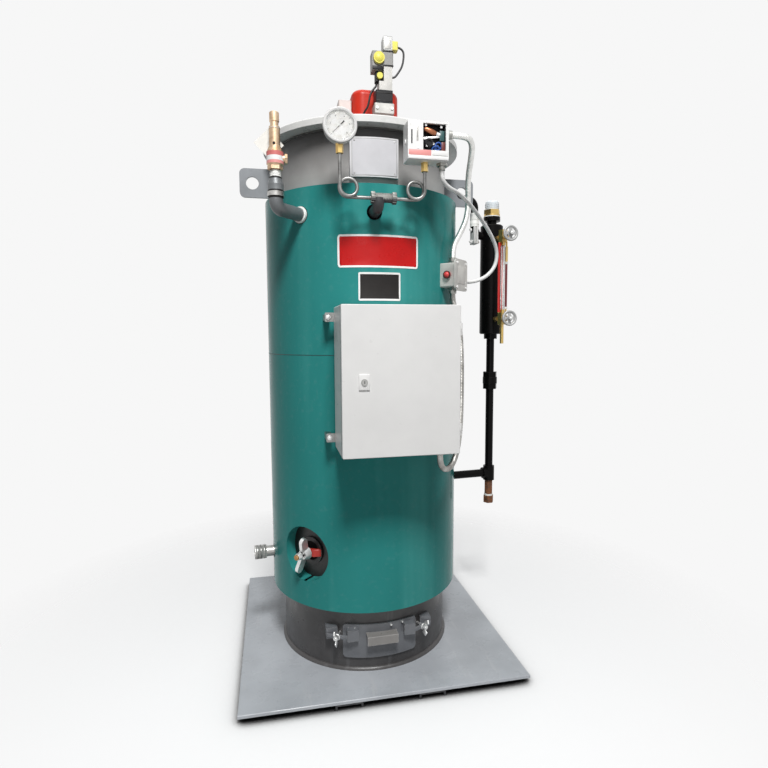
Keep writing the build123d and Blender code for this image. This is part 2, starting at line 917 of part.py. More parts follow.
# Brass sockets under the gauge and the switch
with BuildPart() as siphon_sockets:
    hexagon(
        upright_plane(gauge_x, fitting_y, siphon_z + gauge_rise - gauge_socket_length),
        socket_flats, gauge_socket_length,
    )
    hexagon(
        upright_plane(switch_x, fitting_y, switch_low - switch_socket_length),
        socket_flats, switch_socket_length,
    )
save(siphon_sockets, "siphon_sockets")

# Pressure gauge
case_back = fitting_y + gauge_case_depth / 2
with BuildPart() as gauge_case:
    gauge_plane = front_plane(gauge_x, case_back, gauge_z)
    turned(gauge_plane, [(gauge_case_radius, gauge_case_depth), (gauge_radius, gauge_bezel_depth)])
    fillet(gauge_case.edges().group_by(Axis.Y)[0], gauge_round)
    recess_plane = gauge_plane.offset(gauge_case_depth + gauge_bezel_depth - gauge_recess_depth)
    turned(recess_plane, [(gauge_radius - gauge_rim, gauge_recess_depth)], 0, Mode.SUBTRACT)
save(gauge_case, "gauge_case")

# Pressure switch: an open-fronted case behind a cover with a window
switch_mid = switch_low + switch_height / 2
switch_mid_x = switch_x + switch_shift
switch_back = fitting_y + switch_depth / 2
case_depth = switch_depth - switch_cover_depth
with BuildPart() as switch_case:
    switch_plane = front_plane(switch_mid_x, switch_back, switch_mid)
    rounded_block(switch_plane, switch_width, switch_height, case_depth, switch_corner)
    block(
        switch_plane.offset(switch_wall), switch_width - 2 * switch_wall, switch_height - 2 * switch_wall,
        case_depth, Mode.SUBTRACT,
    )
save(switch_case, "switch_case")

with BuildPart() as switch_cover:
    cover_plane = switch_plane.offset(case_depth)
    rounded_block(cover_plane, switch_width, switch_height, switch_cover_depth, switch_corner)
    window_x = (window_left_share + window_right_share - 1) * switch_width / 2
    window_z = (window_low_share + window_high_share - 1) * switch_height / 2
    window_plane = Plane(
        origin=cover_plane.from_local_coords((window_x, window_z, 0)),
        x_dir=cover_plane.x_dir,
        z_dir=cover_plane.z_dir,
    )
    block(
        window_plane,
        (window_right_share - window_left_share) * switch_width,
        (window_high_share - window_low_share) * switch_height,
        switch_cover_depth, Mode.SUBTRACT,
    )
save(switch_cover, "switch_cover")

# Junction box with its cover and lamp
junction_mid = jacket_top - junction_drop
junction_plane = radial_plane(junction_azimuth, junction_mid)
junction_face = jacket_radius + junction_depth
gland_r = jacket_radius + junction_depth / 2
with BuildPart() as junction_box:
    rounded_block(junction_plane, junction_width, junction_height, junction_face, junction_corner)
    cut_core(jacket_radius + seat_gap)
save(junction_box, "junction_box")

with BuildPart() as junction_cover:
    rounded_block(
        junction_plane.offset(junction_face), junction_cover_width, junction_cover_height,
        junction_cover_thickness, junction_cover_corner,
    )
save(junction_cover, "junction_cover")

with BuildPart() as junction_lamp:
    lamp_place = Plane(
        origin=junction_plane.from_local_coords((-junction_width / 2, 0, gland_r)),
        x_dir=junction_plane.z_dir,
        z_dir=-junction_plane.x_dir,
    )
    turned(lamp_place, [(lamp_radius, lamp_length)])
save(junction_lamp, "junction_lamp")

# Water column with its foot, neck and collar
column_base = upright_plane(column_x, column_y, column_low)
column_body_length = column_top - column_low
with BuildPart() as water_column:
    turned(
        column_base.offset(-column_foot_length),
        [
            (column_foot_radius, column_foot_length),
            (column_radius - column_edge, column_radius, column_edge),
            (column_radius, column_body_length - 2 * column_edge),
            (column_radius, column_radius - column_edge, column_edge),
            (column_neck_radius, column_neck_length),
            (column_collar_radius, column_collar_length),
        ],
    )
save(water_column, "water_column")

collar_top = column_top + column_neck_length + column_collar_length
with BuildPart() as probe_bushing:
    probe_base = upright_plane(column_x, column_y, collar_top)
    turned(probe_base, [(tape_radius, tape_length)])
    hexagon(probe_base.offset(tape_length), bushing_flats, bushing_length)
save(probe_bushing, "probe_bushing")

with BuildPart() as probe_cap:
    turned(probe_base.offset(tape_length + bushing_length), [(probe_radius, probe_length)])
    fillet(probe_cap.edges().group_by(Axis.Z)[-1], probe_dome)
save(probe_cap, "probe_cap")

# Pipe from the column's foot down to the tee, with a union, and the level pipe to the vessel
tee_z = jacket_top - column_tee_drop
foot_z = column_low - column_foot_length
with BuildPart() as column_lower_pipe:
    turned(
        upright_plane(column_x, column_y, tee_z - column_tee_half),
        [(column_tee_radius, 2 * column_tee_half), (column_pipe_radius, foot_z - tee_z - column_tee_half)],
    )
    union_low = jacket_top - union_drop - union_length / 2
    union_plane = upright_plane(column_x, column_y, union_low)
    hexagon(union_plane, union_flats, union_length)
    turned(
        union_plane.offset((union_length - union_ring_length) / 2),
        [(union_ring_radius, union_ring_length)],
    )
    level_plane = radial_plane(column_azimuth, tee_z)
    turned(level_plane.offset(vessel_radius + seat_gap), [(column_pipe_radius, column_r - vessel_radius)])
    turned(level_plane.offset(column_r - column_tee_half), [(column_tee_radius, column_tee_half)])
save(column_lower_pipe, "column_lower_pipe")

# Drain nipple and cap under the tee
with BuildPart() as column_drain:
    drain_low = tee_z - column_tee_half - drain_length
    drain_plane = upright_plane(column_x, column_y, drain_low)
    turned(drain_plane, [(column_pipe_radius, drain_length)])
    hexagon(drain_plane, drain_cap_flats, drain_cap_length)
save(column_drain, "column_drain")

# Equalizing pipe from the column up and into the vessel above the jacket
equalizer_z = jacket_top - equalizer_drop
equalizer_r = column_r - equalizer_setback
with BuildPart() as equalizer_pipe:
    equalizer_plane = radial_plane(column_azimuth, equalizer_z)
    equalizer_route = [
        (0, 0, column_r - column_radius - seat_gap),
        (0, 0, equalizer_r),
        (0, equalizer_rise, equalizer_r),
        (0, equalizer_rise, vessel_radius + seat_gap),
    ]
    tube(
        [equalizer_plane.from_local_coords(point) for point in equalizer_route],
        equalizer_bend, equalizer_radius,
    )
save(equalizer_pipe, "equalizer_pipe")

# Gauge glass valves, handwheels, glass and guard rods
sight_y = column_y - sight_reach
wheel_y = column_y - wheel_reach
upper_valve_z = jacket_top - upper_valve_drop
lower_valve_z = jacket_top - lower_valve_drop
glass_low = lower_valve_z + valve_body_length / 2
glass_high = upper_valve_z - valve_body_length / 2
with BuildPart() as gauge_valves:
    for height in (upper_valve_z, lower_valve_z):
        turned(
            front_plane(column_x, column_y - column_radius - seat_gap, height),
            [(valve_nipple_radius, sight_reach - column_radius)],
        )
        hexagon(
            upright_plane(column_x, sight_y, height - valve_body_length / 2),
            valve_body_flats, valve_body_length,
        )
        turned(
            front_plane(column_x, sight_y, height),
            [(valve_nipple_radius, valve_body_flats / 2 + valve_nipple_radius)],
        )
    for nut_low in (glass_low, glass_high - glass_nut_length):
        hexagon(upright_plane(column_x, sight_y, nut_low), glass_nut_flats, glass_nut_length)
    turned(
        upright_plane(column_x, sight_y, glass_low),
        [(sight_radius + seat_gap, glass_high - glass_low)], mode=Mode.SUBTRACT,
    )
    turned(upright_plane(column_x, sight_y, lower_valve_z - cock_drop), [(cock_radius, cock_drop)])
save(gauge_valves, "gauge_valves")

stem_start = sight_y - valve_body_flats / 2 - valve_nipple_radius - seat_gap
for name, height in (("upper_handwheel", upper_valve_z), ("lower_handwheel", lower_valve_z)):
    with BuildPart() as handwheel:
        stem_plane = front_plane(column_x, stem_start, height)
        turned(stem_plane, [(valve_stem_radius, stem_start - wheel_y)])
        wheel_plane = front_plane(column_x, wheel_y, height)
        with BuildSketch(wheel_plane) as web:
            Circle(wheel_radius - wheel_rim_radius)
            with PolarLocations(wheel_slot_reach_share * wheel_radius, wheel_slots, wheel_slot_azimuth):
                SlotOverall(wheel_slot_length, wheel_slot_width, rotation=wheel_slot_lean, mode=Mode.SUBTRACT)
        extrude(web.sketch, amount=wheel_web)
        rim_side = Plane(origin=wheel_plane.origin, x_dir=wheel_plane.x_dir, z_dir=-wheel_plane.y_dir)
        with BuildSketch(rim_side) as rim:
            with Locations((wheel_radius - wheel_rim_radius, wheel_web / 2)):
                Circle(wheel_rim_radius)
        revolve(rim.sketch, axis=Axis(wheel_plane.origin, wheel_plane.z_dir))
        turned(wheel_plane, [(wheel_hub_radius, wheel_hub_length)])
    save(handwheel, name)

with BuildPart() as sight_glass:
    turned(upright_plane(column_x, sight_y, glass_low), [(sight_radius, glass_high - glass_low)])
save(sight_glass, "sight_glass")

with BuildPart() as guard_rods:
    with BuildSketch(upright_plane(column_x, sight_y, glass_low)):
        with GridLocations(2 * guard_spread, 0, 2, 1):
            Circle(guard_radius)
    extrude(amount=glass_high - glass_low)
save(guard_rods, "guard_rods")

# Blowdown nipple
with BuildPart() as blowdown_nipple:
    blowdown_plane = radial_plane(blowdown_azimuth, jacket_bottom + blowdown_rise)
    blowdown_length = jacket_radius + blowdown_reach - blowdown_collar_length - vessel_radius
    turned(
        blowdown_plane.offset(vessel_radius + seat_gap),
        [(blowdown_radius, blowdown_length), (blowdown_collar_radius, blowdown_collar_length)], blowdown_bore,
    )
save(blowdown_nipple, "blowdown_nipple")

# Steam and feed nozzles and the flue collar on the back
with BuildPart() as back_nozzles:
    steam_plane = radial_plane(back_azimuth, jacket_top - steam_drop)
    steam_length = jacket_radius + steam_reach - vessel_radius
    turned(
        steam_plane.offset(vessel_radius + seat_gap),
        [(steam_radius, steam_length), (flange_radius, flange_thickness)], steam_bore,
    )
    with BuildSketch(steam_plane) as bolt_holes:
        with PolarLocations(flange_bolt_reach, flange_bolts, wheel_slot_azimuth):
            Circle(flange_bolt_radius)
    extrude(bolt_holes.sketch, amount=jacket_radius + steam_reach + cut_overrun, mode=Mode.SUBTRACT)
    feed_plane = radial_plane(back_azimuth, jacket_bottom + feed_rise)
    feed_length = jacket_radius + feed_reach - vessel_radius
    turned(feed_plane.offset(vessel_radius + seat_gap), [(feed_radius, feed_length)], feed_bore)
save(back_nozzles, "back_nozzles")

with BuildPart() as flue_collar:
    flue_plane = radial_plane(back_azimuth, jacket_top - flue_drop)
    with BuildSketch(flue_plane):
        Circle(flue_radius)
        Circle(flue_radius - flue_wall, mode=Mode.SUBTRACT)
    extrude(amount=jacket_radius + flue_reach)
    bead_plane = flue_plane.offset(jacket_radius + flue_reach - 2 * flue_bead)
    turned(bead_plane, [(flue_radius + flue_bead, 2 * flue_bead)], flue_radius - flue_wall)
    cut_core(vessel_radius + seat_gap)
save(flue_collar, "flue_collar")

# Burner on the top plate
flange_top = roof_top + burner_flange_thickness
housing_low = flange_top + burner_neck_length
housing_top = housing_low + housing_height
with BuildPart() as burner_flange:
    flange_plane = upright_plane(burner_x, burner_y, roof_top)
    rounded_block(
        flange_plane, burner_flange_side, burner_flange_side, burner_flange_thickness, burner_flange_corner
    )
    turned(flange_plane.offset(burner_flange_thickness), [(burner_neck_radius, burner_neck_length)])
save(burner_flange, "burner_flange")

with BuildPart() as burner_housing:
    rounded_block(
        upright_plane(burner_x, burner_y, housing_low), housing_width, housing_depth,
        housing_height, housing_round,
    )
    fillet(burner_housing.edges().group_by(Axis.Z)[-1], housing_round / 2)
save(burner_housing, "burner_housing")

with BuildPart() as burner_control_box:
    control_place = upright_plane(
        burner_x - housing_width / 2 - control_width / 2, burner_y,
        housing_top - control_drop - control_height,
    )
    rounded_block(control_place, control_width, control_depth, control_height, control_corner)
save(burner_control_box, "burner_control_box")

# Gas valve column in front of the burner
coil_low = housing_low + gas_pipe_drop
flange_low = coil_low - gas_flange_height
body_low = coil_low + gas_coil_height
block_low = body_low + gas_body_height
block_top = block_low + gas_block_height
block_left = gas_x - gas_block_width / 2
seat_x = gas_x + gas_seat_shift
plug_x = gas_x - gas_body_width / 2 - plug_width / 2
plug_low = body_low + plug_rise
with BuildPart() as gas_valve:
    gas_plane = upright_plane(seat_x, gas_y, flange_low)
    rounded_block(gas_plane, gas_flange_width, gas_flange_depth, gas_flange_height, gas_edge)
    block(upright_plane(gas_x, gas_y, body_low), gas_body_width, gas_body_depth, gas_body_height)
    foot_plane = upright_plane(gas_x + gas_foot_shift, gas_y, body_low)
    block(foot_plane, gas_foot_width, gas_body_depth, gas_foot_height)
    gas_inlet = Plane(
        origin=(seat_x, gas_y, flange_low + gas_flange_height / 2), x_dir=(1, 0, 0), z_dir=(0, 1, 0)
    )
    housing_front = burner_y - housing_depth / 2
    turned(gas_inlet, [(gas_pipe_radius, housing_front - gas_y)])
save(gas_valve, "gas_valve")

with BuildPart() as gas_coils:
    coil_plane = upright_plane(seat_x, gas_y, coil_low)
    rounded_block(coil_plane, gas_coil_width, gas_coil_depth, gas_coil_height, gas_edge)
    plug_plane = upright_plane(plug_x, gas_y, plug_low)
    rounded_block(plug_plane, plug_width, plug_depth, plug_height, gas_edge)
save(gas_coils, "gas_coils")

with BuildPart() as gas_pressure_switch:
    switch_base = upright_plane(gas_x, gas_y, block_low)
    rounded_block(switch_base, gas_block_width, gas_body_depth, gas_block_height, gas_edge)
    rounded_block(
        switch_base.offset(gas_block_height), gas_top_width, gas_body_depth, gas_top_height, gas_edge
    )
    cap_block_plane = upright_plane(
        block_left - cap_block_width / 2, gas_y, block_top - cap_block_drop - cap_block_height
    )
    block(cap_block_plane, cap_block_width, gas_body_depth, cap_block_height)
save(gas_pressure_switch, "gas_pressure_switch")

# Yellow caps: on the pressure switch's face, on the valve plug and at the top's side
side_plug_low = block_top + (gas_top_height - side_plug_height) / 2
with BuildPart() as gas_caps:
    turned(
        front_plane(block_left - cap_inset, gas_y - gas_body_depth / 2, block_top - cap_drop),
        [(cap_radius, cap_length)],
    )
    turned(
        front_plane(plug_x, gas_y - plug_depth / 2, plug_low + plug_height / 2),
        [(plug_cap_radius, cap_length)],
    )
    side_plug_x = gas_x + gas_top_width / 2 + side_plug_width / 2
    rounded_block(
        upright_plane(side_plug_x, gas_y, side_plug_low),
        side_plug_width, plug_depth, side_plug_height, gas_edge,
    )
save(gas_caps, "gas_caps")


def easy_bends(points):
    """Largest radius at each corner of a route that its two runs leave room for."""
    radii = []
    for before, corner, after in zip(points, points[1:], points[2:]):
        turn = (corner - before).get_angle(after - corner)
        shorter = min((corner - before).length, (after - corner).length)
        radii.append(bend_room_share * shorter / tan(radians(turn) / 2))
    return radii


def cord(radius, start, leaving, end, entering):
    """Adds a cord between two mouths, along the steps seen from each, and prints its bend radii."""
    points = [Vector(*start) + Vector(*step) for step in leaving]
    points += [Vector(*end) + Vector(*step) for step in entering]
    radii = easy_bends(points)
    print("bends", [round(value) for value in radii])
    tube(points, radii, radius)


# Leads of the gas valve
side_plug_right = gas_x + gas_top_width / 2 + side_plug_width
body_right = gas_x + gas_body_width / 2
with BuildPart() as burner_leads:
    cord(
        lead_radius,
        (plug_x - plug_lead_inset, gas_y, plug_low - seat_gap), valve_lead_leaving,
        (burner_x - lead_entry_reach, housing_front - seat_gap, housing_low + lead_entry_rise),
        valve_lead_entering,
    )
    cord(
        lead_radius,
        (side_plug_right + seat_gap, gas_y, side_plug_low + side_plug_height / 2), switch_lead_leaving,
        (body_right + seat_gap, gas_y, body_low + lead_exit_rise), switch_lead_entering,
    )
save(burner_leads, "burner_leads")


def gland(base, inner):
    """Adds a gland on a face: a nut and the neck that a conduit or cable of some radius butts on."""
    hexagon(base, gland_nut_flats, gland_nut_length)
    turned(base.offset(gland_nut_length), [(inner + gland_wall, gland_neck_length)])


def mouth(base):
    """End of a gland's neck, where its conduit or cable begins."""
    return base.offset(gland_nut_length + gland_neck_length + seat_gap).origin


# Glands on the switch, the junction box and the cabinet
switch_right = switch_mid_x + switch_width / 2
box_middle = radial_plane(junction_azimuth, junction_mid, gland_r)
switch_gland = Plane(
    origin=(switch_right, switch_back - switch_gland_inset, switch_low + switch_gland_rise),
    x_dir=(0, 1, 0), z_dir=(1, 0, 0),
)
cable_gland = Plane(
    origin=(switch_right - cable_gland_inset, fitting_y, switch_low), x_dir=(1, 0, 0), z_dir=(0, 0, -1)
)
box_top_gland = Plane(
    origin=box_middle.from_local_coords((0, junction_height / 2, 0)), x_dir=(1, 0, 0), z_dir=(0, 0, 1)
)
box_foot_gland = Plane(
    origin=box_middle.from_local_coords((0, -junction_height / 2, 0)), x_dir=(1, 0, 0), z_dir=(0, 0, -1)
)
box_side_gland = Plane(
    origin=box_middle.from_local_coords((junction_width / 2, -junction_cable_drop, 0)),
    x_dir=box_middle.z_dir, z_dir=box_middle.x_dir,
)
cabinet_right = cabinet_shift + cabinet_width / 2
cabinet_gland = Plane(
    origin=(cabinet_right - cabinet_gland_inset, cabinet_back - cabinet_gland_setback, cabinet_low),
    x_dir=(1, 0, 0), z_dir=(0, 0, -1),
)
with BuildPart() as conduit_glands:
    for base in (switch_gland, box_top_gland, box_foot_gland, cabinet_gland):
        gland(base, conduit_radius)
    for base in (cable_gland, box_side_gland):
        gland(base, cable_radius)
save(conduit_glands, "conduit_glands")

# Flexible conduits to and from the junction box, and the switch cable
with BuildPart() as flex_conduits:
    cord(
        conduit_radius, mouth(switch_gland), upper_conduit_leaving,
        mouth(box_top_gland), upper_conduit_entering,
    )
    cord(
        conduit_radius, mouth(box_foot_gland), lower_conduit_leaving,
        mouth(cabinet_gland), lower_conduit_entering,
    )
save(flex_conduits, "flex_conduits")

with BuildPart() as switch_cable:
    cord(
        cable_radius, mouth(cable_gland), switch_cable_leaving,
        mouth(box_side_gland), switch_cable_entering,
    )
save(switch_cable, "switch_cable")

# Control cabinet: body, door, lock, ears and mounting plate
hinge_x = cabinet_shift + cabinet_width / 2 + hinge_offset


def hinge_half(row, half):
    """Adds half a hinge: its barrel on the door's axis and the leaf to the body (-1) or to the door (1)."""
    middle = cabinet_mid + row * (cabinet_height / 2 - hinge_inset)
    barrel_length = hinge_height / 2 - seat_gap
    low = middle + seat_gap if half > 0 else middle - hinge_height / 2
    turned(upright_plane(hinge_x, cabinet_front, low), [(hinge_radius, barrel_length)])
    leaf_x = hinge_x - hinge_offset + (hinge_leaf - panel_wall) / 2
    leaf_back = cabinet_front - seat_gap if half > 0 else cabinet_front + hinge_leaf_reach
    leaf_plane = front_plane(leaf_x, leaf_back, low + barrel_length / 2)
    block(leaf_plane, hinge_leaf + panel_wall, barrel_length, hinge_leaf_reach)


cabinet_plane = front_plane(cabinet_shift, cabinet_back, cabinet_mid)
with BuildPart() as cabinet_body:
    rounded_block(cabinet_plane, cabinet_width, cabinet_height, cabinet_depth, cabinet_edge)
    block(
        cabinet_plane.offset(cabinet_wall), cabinet_width - 2 * cabinet_wall,
        cabinet_height - 2 * cabinet_wall, cabinet_depth - 2 * cabinet_wall, Mode.SUBTRACT,
    )
    block(
        cabinet_plane.offset(cabinet_depth - cabinet_wall), cabinet_width - 2 * cabinet_rim,
        cabinet_height - 2 * cabinet_rim, cabinet_wall, Mode.SUBTRACT,
    )
    for row in (-1, 1):
        hinge_half(row, -1)
save(cabinet_body, "cabinet_body")

with BuildPart() as cabinet_door:
    panel_plane = cabinet_plane.offset(cabinet_depth + seat_gap)
    rounded_block(panel_plane, cabinet_width, cabinet_height, panel_depth, cabinet_edge)
    fillet(cabinet_door.faces().sort_by(Axis.Y)[0].edges(), cabinet_edge / 2)
    block(
        panel_plane, cabinet_width - 2 * panel_wall, cabinet_height - 2 * panel_wall,
        panel_depth - panel_wall, Mode.SUBTRACT,
    )
    for row in (-1, 1):
        hinge_half(row, 1)
save(cabinet_door, "cabinet_door")

with BuildPart() as cabinet_lock:
    lock_plane = front_plane(
        cabinet_shift - cabinet_width / 2 + lock_inset, cabinet_front - seat_gap - panel_depth, cabinet_mid
    )
    rounded_block(lock_plane, lock_side, lock_side, lock_plate, lock_plate)
    turned(lock_plane.offset(lock_plate), [(lock_radius, lock_length)])
save(cabinet_lock, "cabinet_lock")

ear_rise = cabinet_height / 2 - ear_inset
with BuildPart() as cabinet_ears:
    for side in (-1, 1):
        for row in (-1, 1):
            ear_x = cabinet_shift + side * (cabinet_width / 2 + ear_length / 2 - ear_overlap)
            ear_plane = front_plane(ear_x, cabinet_back, cabinet_mid + row * ear_rise)
            with BuildSketch(ear_plane.offset(-ear_thickness)) as ear:
                RectangleRounded(ear_length, ear_width, ear_thickness)
            extrude(ear.sketch, amount=ear_thickness)
            bar_x = side * (ear_length / 2 - standoff_bar / 2)
            bar_plane = front_plane(ear_x + bar_x, 0, cabinet_mid + row * ear_rise)
            block(bar_plane, standoff_bar, standoff_bar, -cabinet_back - ear_thickness)
    cut_core(jacket_radius + seat_gap)
save(cabinet_ears, "cabinet_ears")

with BuildPart() as mounting_plate:
    post_plane = cabinet_plane.offset(cabinet_wall)
    with BuildSketch(post_plane):
        with GridLocations(
            cabinet_width - 4 * backplate_margin, cabinet_height - 4 * backplate_margin, 2, 2
        ):
            Circle(backplate_post_radius)
    extrude(amount=backplate_post_length)
    block(
        post_plane.offset(backplate_post_length), cabinet_width - 2 * backplate_margin,
        cabinet_height - 2 * backplate_margin, backplate_thickness,
    )
save(mounting_plate, "mounting_plate")
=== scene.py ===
from itertools import product
from math import cos, pi, radians, sin, tau

import bmesh
import bpy
from bpy.props import FloatProperty, FloatVectorProperty, PointerProperty
from mathutils import Matrix, Vector


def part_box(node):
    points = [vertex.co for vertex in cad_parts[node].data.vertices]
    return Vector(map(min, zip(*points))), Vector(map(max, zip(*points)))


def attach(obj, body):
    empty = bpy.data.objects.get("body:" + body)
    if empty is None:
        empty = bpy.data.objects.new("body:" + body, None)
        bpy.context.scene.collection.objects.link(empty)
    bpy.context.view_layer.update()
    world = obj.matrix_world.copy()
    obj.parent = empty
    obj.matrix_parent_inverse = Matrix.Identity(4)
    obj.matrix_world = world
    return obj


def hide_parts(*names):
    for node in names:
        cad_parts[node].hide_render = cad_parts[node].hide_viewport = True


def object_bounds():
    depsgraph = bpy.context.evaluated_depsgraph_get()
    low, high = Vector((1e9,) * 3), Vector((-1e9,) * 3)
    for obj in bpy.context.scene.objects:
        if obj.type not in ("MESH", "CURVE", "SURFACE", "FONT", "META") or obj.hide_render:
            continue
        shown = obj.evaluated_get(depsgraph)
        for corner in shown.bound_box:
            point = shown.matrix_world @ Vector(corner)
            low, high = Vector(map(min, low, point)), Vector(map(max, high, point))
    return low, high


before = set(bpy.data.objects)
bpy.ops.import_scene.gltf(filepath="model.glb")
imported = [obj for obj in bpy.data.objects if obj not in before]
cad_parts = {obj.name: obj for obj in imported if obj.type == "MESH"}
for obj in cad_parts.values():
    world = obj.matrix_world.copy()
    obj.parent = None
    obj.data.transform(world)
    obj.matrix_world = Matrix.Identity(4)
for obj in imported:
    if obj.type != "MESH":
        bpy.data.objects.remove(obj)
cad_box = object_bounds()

bl_info = {
    "name": "Vertical Steam Boiler",
    "version": (1, 0, 0),
    "blender": (4, 5, 0),
    "location": "View3D > Sidebar > Boiler",
    "description": "Dresses a vertical steam boiler with finishes, cords, plates and trim",
    "category": "Object",
}

BOILER = "boiler"
MM = 0.001
# Points of a form that lie closer than this, in millimetres, become one.
MERGE = 0.001

# Where trim sits on the solids: heights and other places in metres, azimuths in
# degrees from the front to the right.
ELBOW_TOP, ELBOW_AZIMUTH = 1.808, -43
COLUMN_AZIMUTH, EQUALIZER_HEIGHT = 95, 1.786
GLASS_VALVES = (1.766, 1.408)
CLAMP_HEIGHT = 0.182
HANDHOLE_HEIGHT, HANDHOLE_AZIMUTH = 0.495, -44.7
BLOWDOWN_HEIGHT, BLOWDOWN_AZIMUTH = 0.423, -84
JUNCTION_AZIMUTH = 46
CABINET_X, CABINET_MOUTH, DOOR_INSIDE = 0.030, -0.5965, -0.6125
EAR_BOLTS_X, EAR_BOLTS_Z = (-0.190, 0.250), (0.972, 1.402)
VALVE_FRONT, TOP_BOX = -0.128, (0.092, -0.104, 2.4635)
HOOD_SCREW_HEIGHT = 2.190
NAME_PLATE_WIDTH, NAME_PLATE_TURN = 0.166, -1.5
SIGN_THICKNESS = 1.2 * MM
LAP_RIVET_PITCH = 120 * MM
# Girth of a conduit between its ribs, as a share of its girth over them.
RIB_WAIST = 0.88

# The stage: the pale tone of room and floor, and the rays that see it.
PALE = (0.93, 0.93, 0.93)
SEEN_BY = ("Is Glossy Ray", "Is Transmission Ray")
FLOOR_RADIUS, FADE_START, FADE_END = 4.0, 0.85, 1.9
LAMP_AIM = Vector((0, 0, 1.2))

# Control points of the cords, in metres, from one gland to the other.
UPPER_CONDUIT = (
    (0.2393, -0.482, 2.025), (0.2753, -0.482, 2.025), (0.3093, -0.471, 2.023),
    (0.3323, -0.438, 2.009), (0.3443, -0.392, 1.978), (0.3533, -0.346, 1.942),
    (0.3663, -0.303, 1.903), (0.381, -0.270, 1.850), (0.377, -0.260, 1.790),
    (0.349, -0.270, 1.735), (0.319, -0.291, 1.692), (0.3093, -0.2987, 1.662),
    (0.3093, -0.2987, 1.6343),
)
LOWER_CONDUIT = (
    (0.3093, -0.2987, 1.4977), (0.3093, -0.2987, 1.472), (0.320, -0.302, 1.436),
    (0.338, -0.303, 1.370), (0.345, -0.306, 1.250), (0.341, -0.318, 1.110),
    (0.331, -0.341, 1.005), (0.312, -0.374, 0.926), (0.284, -0.416, 0.874),
    (0.249, -0.461, 0.848), (0.213, -0.500, 0.852), (0.190, -0.522, 0.882),
    (0.190, -0.522, 0.9147),
)
SWITCH_CABLE = (
    (0.203, -0.488, 1.9027), (0.203, -0.488, 1.883), (0.212, -0.482, 1.8647),
    (0.238, -0.465, 1.8517), (0.277, -0.434, 1.8477), (0.322, -0.387, 1.8397),
    (0.374, -0.334, 1.8207), (0.434, -0.279, 1.7877), (0.500, -0.224, 1.738),
    (0.537, -0.196, 1.682), (0.534, -0.189, 1.625), (0.500, -0.192, 1.583),
    (0.454, -0.196, 1.560), (0.408, -0.204, 1.552), (0.3774, -0.2282, 1.551),
    (0.3561, -0.2503, 1.551),
)
VALVE_LEAD = (
    (0.049, -0.104, 2.3467), (0.049, -0.104, 2.3397), (0.046, -0.104, 2.3312),
    (0.040, -0.105, 2.3242), (0.024, -0.106, 2.3047), (0.016, -0.100, 2.255),
    (0.004, -0.086, 2.241), (0.002, -0.072, 2.236), (0.002, -0.0553, 2.236),
)
SWITCH_LEAD = (
    (0.1353, -0.104, 2.4885), (0.1423, -0.104, 2.4885), (0.1508, -0.104, 2.485),
    (0.1573, -0.105, 2.4785), (0.1608, -0.106, 2.470), (0.1613, -0.106, 2.4545),
    (0.1588, -0.106, 2.4335), (0.1523, -0.106, 2.4125), (0.1413, -0.105, 2.395),
    (0.1313, -0.104, 2.381), (0.1248, -0.104, 2.3745), (0.1163, -0.104, 2.371),
    (0.1093, -0.104, 2.371),
)

# The finish of every solid of the frame.
COATS = {
    "plate_enamel": ("base_plate",),
    "skid_paint": ("skid_channels",),
    "skirt_paint": ("skirt",),
    "door_steel": ("cleanout_door", "cleanout_clamps"),
    "handle_steel": ("cleanout_handle",),
    "handhole_iron": ("handhole_cover",),
    "shell_paint": ("vessel_shell",),
    "lug_paint": ("lifting_lugs",),
    "ring_enamel": ("top_plate",),
    "jacket_enamel": (
        "lower_jacket", "upper_jacket", "jacket_ends", "handhole_sleeve", "flue_collar",
    ),
    "bright_steel": ("handhole_wing_nut",),
    "lock_steel": ("cabinet_lock", "cabinet_ears"),
    "yoke_paint": ("handhole_yoke",),
    "tube_steel": ("siphon_tubes",),
    "bezel_alloy": ("gauge_case",),
    "pipe_iron": ("safety_pipe", "back_nozzles"),
    "galvanised": ("blowdown_nipple",),
    "valve_bronze": ("safety_valve", "safety_bonnet"),
    "brass": ("siphon_sockets", "probe_bushing", "gauge_valves", "guard_rods"),
    "wheel_alloy": ("upper_handwheel", "lower_handwheel"),
    "switch_enamel": ("switch_case", "switch_cover"),
    "cast_alloy": ("junction_box", "junction_cover"),
    "lamp_red": ("junction_lamp",),
    "column_enamel": ("water_column", "column_lower_pipe", "equalizer_pipe"),
    "rusty_iron": ("column_drain",),
    "probe_plastic": ("probe_cap",),
    "clear_glass": ("sight_glass",),
    "burner_plastic": ("burner_housing",),
    "box_plastic": ("burner_control_box",),
    "burner_alloy": ("burner_flange",),
    "valve_alloy": ("gas_valve",),
    "coil_plastic": ("gas_coils",),
    "grey_plastic": ("gas_pressure_switch",),
    "cap_plastic": ("gas_caps",),
    "zinc": ("conduit_glands",),
    "branch_iron": ("siphon_tee",),
    "bracket_alloy": ("nameplate_bracket",),
    "cabinet_enamel": ("cabinet_body", "cabinet_door", "mounting_plate"),
}


def low(node):
    """Lowest corner of a solid of the frame."""
    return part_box(node)[0]


def high(node):
    """Highest corner of a solid of the frame."""
    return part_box(node)[1]


def middle(node):
    """Centre of the box round a solid of the frame."""
    return (low(node) + high(node)) / 2


JACKET_RADIUS = high("upper_jacket").x
JACKET_TOP = high("upper_jacket").z
SEAM_HEIGHT = low("upper_jacket").z
SHELL_RADIUS = high("vessel_shell").x
SHELL_TOP = high("vessel_shell").z
PLATE_TOP = high("base_plate").z


def display(red, green, blue):
    """A display colour, 0 to 255, as the linear light that a shader takes."""
    return tuple(((tone / 255 + 0.055) / 1.055) ** 2.4 for tone in (red, green, blue))


